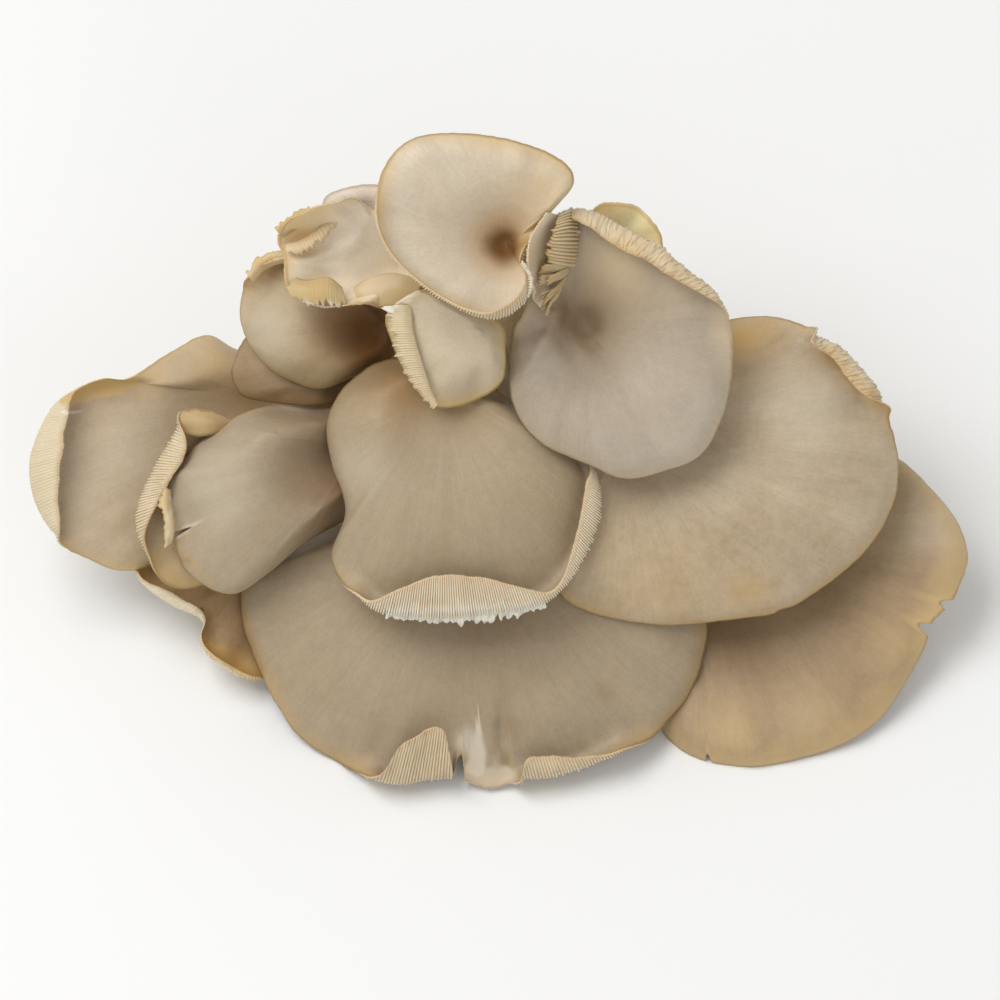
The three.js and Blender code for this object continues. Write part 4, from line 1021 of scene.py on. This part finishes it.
# Bottom cap.
# The widest fan, at the foot of the bunch. Its lower rim is torn and curls up, so that broken gills and
# white flesh show there.
grow_mushroom(
    "bottom_cap", "mushroom_bottom",
    # Its wide, darker middle is partly painted shade where the centre cap lies over it.
    skin=dict(pale=(184, 166, 138), tan=(172, 152, 124), eye=(136, 102, 58), rim=(190, 156, 96), eye_size=30,
              eye_depth=0.45, warm=0.6, band=6),
    seed=97, eye=(-8, -14, -16), foot=(0, 4, 20), crown=5, funnel=(1, 10), stem=5.4,
    notches=[(-10.3, -80.4, 1.7, 8)], rim_gills=0.7, torn=0.7, curl=7,
    dents=[(0.5, -67, 82, 7, 1.8, -1.6), (-6, -60, 80, 7, 3, 0.6), (-26, -43, 25, 12, 1.2, 0.3)],
    # Painted shadow under the centre cap's lower edge, painted shade in the dimple and beside the torn white
    # strip, and small dark marks on the rim.
    brown_spots=[(2.5, -67, 3.5, 0.35), (-27.5, -79, 2.5, 0.7), (26, -58, 2.5, 0.25), (0, -46, 16, 0.15),
                 (0.4, -72.5, 1.6, -76, 0.6, 1.0, 0.4), (-30, -36, 12, 0.15)],
    white_spots=[(-5.4, -63.5, -5.8, -77, 0.1, 2.8, 0.55), (-8, -79.5, 1, -80, 3, 3, 0.35),
                 (-8.5, -71, 3, 0.6)],
    wider=0.7, granular=0.2,
    rim=[
        (-62, -28, -22, -60), (-64.7, -36, -23, -70), (-62.5, -46, -23, -70), (-57.5, -57.5, -22, -70),
        (-50, -69, -21, -60), (-39, -76.2, -20, -40), (-31, -80.3, -19, 90, 10), (-28, -81, -19, 138, 17),
        (-23, -80.5, -19, 142, 21), (-16, -79.3, -19, 142, 21), (-13.2, -79.6, -19, 125, 15),
        (-10.8, -80.2, -19, 70, 9), (-8, -81, -19, 20, 6), (-3, -82, -19, 10, 6), (1.5, -81.6, -19, 15, 6),
        (4.5, -80.3, -19, 60, 8), (8, -79.8, -19, 132, 12), (14, -78.8, -19, 140, 11),
        (22.5, -76.3, -19, 125, 9), (35, -71.3, -19, 30), (41.5, -65.5, -19, -60), (47.5, -57.5, -19, -60),
        (51.3, -45, -19, -60), (50, -34, -20, -50), (40, -19, -20, -40), (18, -7, -20, -40),
        (-8, -4, -20, -40), (-30, -12, -22, -40), (-50, -21, -22, -50),
    ])

# Far left cap.
# A broad, nearly flat cap with a folded yellow flap on its upper rim and a curled left rim full of gills.
grow_mushroom(
    "far_left_cap", "mushroom_far_left",
    skin=dict(pale=(204, 186, 158), tan=(188, 166, 134), eye=(156, 122, 74), rim=(220, 186, 116),
              eye_size=22, eye_depth=0.35, warm=0.5),
    gills=dict(pale=(222, 208, 178), shade=(196, 172, 130), contrast=0.3),
    seed=103, eye=(-57, 15, -35), foot=(-26, 20, 19), crown=3, stem=4.4,
    rim_gills=0.18, wider=0.9,
    brown_spots=[(-72, 20, 10, 0.15), (-60, 12, 14, 0.4)],
    warm_spots=[(-72, 24, 8, 0.25), (-93, 20.5, -109, 16.5, 3, 2.6, 0.8), (-88, 21, 5, 0.4)],
    white_spots=[(-109, 12, -107, 11.8, 0.2, 0.4, 0.8), (-95, 2, 14, 0.15)],
    rim=[
        (-65.5, 27, -33, -50), (-73, 31, -31, -50), (-81, 27.5, -28, -50), (-89, 22.5, -25, 10),
        (-94.5, 20.3, -24, 60, 8), (-100, 20.5, -24, 75, 9), (-106, 18, -24, 82, 9),
        (-112, 13.5, -24, 132, 11), (-116, 5.5, -24, 142, 14), (-117.8, -1, -24, 145, 15),
        (-116.5, -10, -24, 140, 13), (-112.5, -17.5, -23, 120, 10), (-110, -21, -23, 50),
        (-105, -23.3, -23, -40), (-96, -27, -24, -60), (-87.5, -26, -26, -60), (-76, -18, -30, -40),
        (-68, -5, -33, -40), (-60, 4, -35, -40), (-52, 8, -36, -30), (-50, 16, -36, -30),
        (-56, 24, -33, -40),
    ])

# Far right cap.
# The lowest cap on the right, browner than the rest, with a small nick in its edge and one in its foot.
grow_mushroom(
    "far_right_cap", "mushroom_far_right",
    skin=dict(pale=(182, 158, 124), tan=(162, 136, 102), eye=(110, 74, 36), rim=(216, 186, 132), eye_size=16,
              eye_depth=0.5, warm=0.75, band=9),
    seed=109, eye=(48, -14, -37), foot=(22, 5, 12), crown=3, funnel=(1, 8), stem=4.8,
    notches=[(112.5, -36, 1.4, 2.2), (107, -43, 1.7, 3), (52.5, -75, 0.7, 3)],
    # Painted shadow of the right cap's edge on this one, and a fainter darker patch further right.
    brown_spots=[(58, -44, 12, 0.4), (84, -36, 16, 0.2)],
    warm_spots=[(100, -46, 9, 0.35), (112, -30, 5, 0.3), (78, -66, 10, 0.35), (58, -68, 9, 0.4)],
    white_spots=[(108, -18, 8, 0.2), (75, -64, 7, 0.06)], wider=0.8,
    rim=[
        (92, 3, -31, -40), (100, 0, -29, -50), (107.5, -7, -28, -60), (114, -15, -27, -60),
        (117, -24, -27, -60), (115, -31, -27, -50), (112.5, -36, -26, -20), (107.3, -41, -26, -10),
        (107, -45, -26, -40), (101, -56, -25, -60), (95, -64.5, -24, -60), (86, -70.7, -23, -60),
        (75, -74.3, -22, -60), (64, -76.3, -21.5, -60), (52, -75, -22, -60), (44, -71, -25, -50),
        (40, -65, -28, -40), (39, -52, -34, -40), (40, -34, -36, -40), (41, -18, -39, -30),
        (44, -8, -40, -30), (54, -3, -39, -30), (72, 2, -36, -40),
    ])

# Small yellow cap.
# A young yellow cap that peeps out behind the upper right one.
grow_mushroom(
    "small_yellow_cap", "mushroom_small_yellow",
    skin=dict(pale=(255, 246, 204), tan=(252, 232, 180), eye=(170, 130, 76), rim=(240, 208, 136), eye_size=4,
              eye_depth=0.2, warm=0.5),
    seed=113, eye=(29, 52, 0), foot=(17, 41, 32), crown=2, stem=3.2, ruffle=1.0,
    rim=[
        (24.5, 64, 7, 30), (32.5, 64.3, 7, 40), (37.5, 60.8, 7, 30), (40.5, 54, 6, -20),
        (38, 47, 3, -20), (30, 44.5, 0, -20), (22, 48, 0, -20), (21, 57, 4, -10),
    ])

# Low left cap.
# A brown folded cap under the others, its curled edge whitish from below.
grow_mushroom(
    "low_left_cap", "mushroom_low_left",
    skin=dict(pale=(200, 168, 122), tan=(176, 142, 96), eye=(92, 56, 20), rim=(200, 160, 90), eye_size=12,
              eye_depth=0.5, warm=0.5),
    gills=dict(pale=(232, 218, 190), shade=(206, 184, 146), contrast=0.25),
    seed=127, eye=(-51, -18, -39), foot=(-12, -1, 7), crown=3, stem=3.6,
    ruffle=1.2, rim_gills=0.15, wider=0.8, granular=0.25,
    brown_spots=[(-67, -42, 8, 0.35), (-86, -28, 5, 0.15)],
    warm_spots=[(-73, -47, -61, -54, 1.5, 2.5, 0.5)],
    rim=[
        (-92, -27.5, -33, 60), (-87.5, -33, -32, 130, 9), (-80, -37.5, -31, 132, 9),
        (-74.5, -40, -31, 110, 8), (-75.5, -45, -31, 70), (-72.5, -50, -31, 100, 9),
        (-65, -54.5, -32, 100, 9), (-59, -55, -34, 60), (-53, -48, -36, -40), (-48, -34, -38, -40),
        (-45, -22, -41, -40), (-51, -11, -42, -30), (-66, -14, -40, -30), (-82, -22, -35, -20),
    ])

# Root clump.
# The knobbly foot that all the stems grow from, firm pale flesh, cut off flat with a knife underneath.
CLUMP_CENTRE = (2, 25.5)
CLUMP_HALF = (35, 32)
CLUMP_HEIGHT = 56
CLUMP_LEAN = 12                 # of its top towards the back
CLUMP_PROFILE = ((0, 0.93), (0.03, 0.975), (0.1, 1), (0.2, 0.99), (0.3, 0.96), (0.43, 0.89), (0.55, 0.8),
                 (0.67, 0.69), (0.78, 0.57), (0.87, 0.44), (0.94, 0.3), (0.98, 0.16))
CLUMP_COLUMNS = 180
CLUMP_LEVELS = 46


def clump_mesh():
    """A leaning dome with knobs and folds where stems press together, and a flat cut underneath."""
    turn = 2 * math.pi * np.arange(CLUMP_COLUMNS) / CLUMP_COLUMNS
    lobes = 1 + 0.07 * np.cos(3 * turn + 0.6) + 0.045 * np.cos(5 * turn + 2.1) + 0.025 * np.cos(8 * turn + 4)
    known = np.array(CLUMP_PROFILE)
    rings = []
    for level in np.linspace(0, 0.985, CLUMP_LEVELS):
        width = np.interp(level, known[:, 0], known[:, 1])
        knobs = 0.03 * np.sin(11 * turn + 5 * level) * np.sin(9 * level + 2 * np.sin(3 * turn))
        knobs = knobs + 0.012 * np.sin(29 * turn + 4 * np.sin(7 * level))
        knobs = knobs * min(1, level * 12)
        size = width * (lobes + knobs)
        x = CLUMP_CENTRE[0] + CLUMP_HALF[0] * size * np.cos(turn)
        y = CLUMP_CENTRE[1] + CLUMP_LEAN * level + CLUMP_HALF[1] * size * np.sin(turn)
        rings.append(np.stack([x, y, np.full_like(x, CLUMP_HEIGHT * level)], axis=1))
    low = np.array([[CLUMP_CENTRE[0], CLUMP_CENTRE[1], 0]])
    high = np.array([[CLUMP_CENTRE[0], CLUMP_CENTRE[1] + CLUMP_LEAN, CLUMP_HEIGHT]])
    places = np.concatenate(rings + [low, high])
    places = (places - [MIDDLE[0], MIDDLE[1], 0]) * MM
    index = [np.arange(CLUMP_COLUMNS) + k * CLUMP_COLUMNS for k in range(CLUMP_LEVELS)]
    sides = bands(index, True)
    faces = sides + fan(len(places) - 2, index[0], True) + fan(len(places) - 1, index[-1], False)
    smoothed = np.ones(len(faces), bool)
    smoothed[len(sides):len(sides) + CLUMP_COLUMNS] = False
    return closed_mesh("root_clump_flesh", places, faces, smoothed)


def clump_flesh():
    """Firm flesh, blotched and flecked darker."""
    made, tree, shader = flesh_material("clump flesh", 0.7, 0.002, 0.2)
    spots = place_group(tree, mottle, Blotch_Size=90.0, Fleck_Size=500.0)
    colour = blend_colour(tree, spots["Blotches"], tone(206, 184, 146), tone(228, 212, 182))
    colour = blend_colour(tree, times(tree, spots["Flecks"], 0.3), colour, tone(172, 140, 96))
    tree.links.new(colour, shader.inputs["Base Color"])
    relief(tree, shader, 0.6, 0.0004, spots["Flecks"])
    return made


clump = bpy.data.objects.new("clump", clump_mesh())
clump.data.materials.append(clump_flesh())
put_in_cluster(clump, "root_clump")

# Table and light.
# A plain pale surface under the cluster, a wide soft light above it and a weaker one from the front.
FLOOR_HALF = 4.0
PAPER = (0.9, 0.9, 0.89, 1)
PAPER_ROUGHNESS = 0.9
SKY_STRENGTH = 0.56
VIEW_DISTANCE = 6.0
VIEW_WIDTH = 0.25               # of the picture, at the face's middle
VIEW_MIDDLE = (0, -10, 0)       # on the face
floor_mesh = bpy.data.meshes.new("floor")
corners = [(x * FLOOR_HALF, y * FLOOR_HALF, 0) for x, y in ((-1, -1), (1, -1), (1, 1), (-1, 1))]
floor_mesh.from_pydata(corners, [], [(0, 1, 2, 3)])
floor = bpy.data.objects.new("floor", floor_mesh)
bpy.context.scene.collection.objects.link(floor)
paper = bpy.data.materials.new("pale paper")
paper.use_nodes = True
paper.node_tree.nodes["Principled BSDF"].inputs["Base Color"].default_value = PAPER
paper.node_tree.nodes["Principled BSDF"].inputs["Roughness"].default_value = PAPER_ROUGHNESS
floor_mesh.materials.append(paper)


def soft_light(name, power, size, place, aim):
    lamp = bpy.data.lights.new(name, "AREA")
    lamp.energy = power
    lamp.size = size
    holder = bpy.data.objects.new(name, lamp)
    bpy.context.scene.collection.objects.link(holder)
    holder.location = place
    holder.rotation_euler = (Vector(aim) - Vector(place)).to_track_quat("-Z", "Y").to_euler()


soft_light("wide light", 13, 0.9, (-0.62, 0.05, 1.4), (0, 0, 0.05))
soft_light("front light", 3, 1.0, (0.6, -1.5, 1.2), (0, 0, 0.05))
world = bpy.data.worlds.new("studio")
world.use_nodes = True
world.node_tree.nodes["Background"].inputs["Color"].default_value = (1, 1, 1, 1)
world.node_tree.nodes["Background"].inputs["Strength"].default_value = SKY_STRENGTH
bpy.context.scene.world = world
bpy.context.scene.view_settings.view_transform = "Standard"

lens = bpy.data.cameras.new("camera")
lens.lens = lens.sensor_width * VIEW_DISTANCE / VIEW_WIDTH
camera = bpy.data.objects.new("camera", lens)
bpy.context.scene.collection.objects.link(camera)
across = Vector((1, 0, 0))
up_face = Vector((0, math.cos(FACE_TILT), math.sin(FACE_TILT)))
out_of_face = Vector((0, -math.sin(FACE_TILT), math.cos(FACE_TILT)))
aim = Vector(to_table(np.array(VIEW_MIDDLE, float)))
turned = Matrix((across, up_face, out_of_face)).transposed().to_4x4()
camera.matrix_world = Matrix.Translation(aim + out_of_face * VIEW_DISTANCE) @ turned
bpy.context.scene.camera = camera
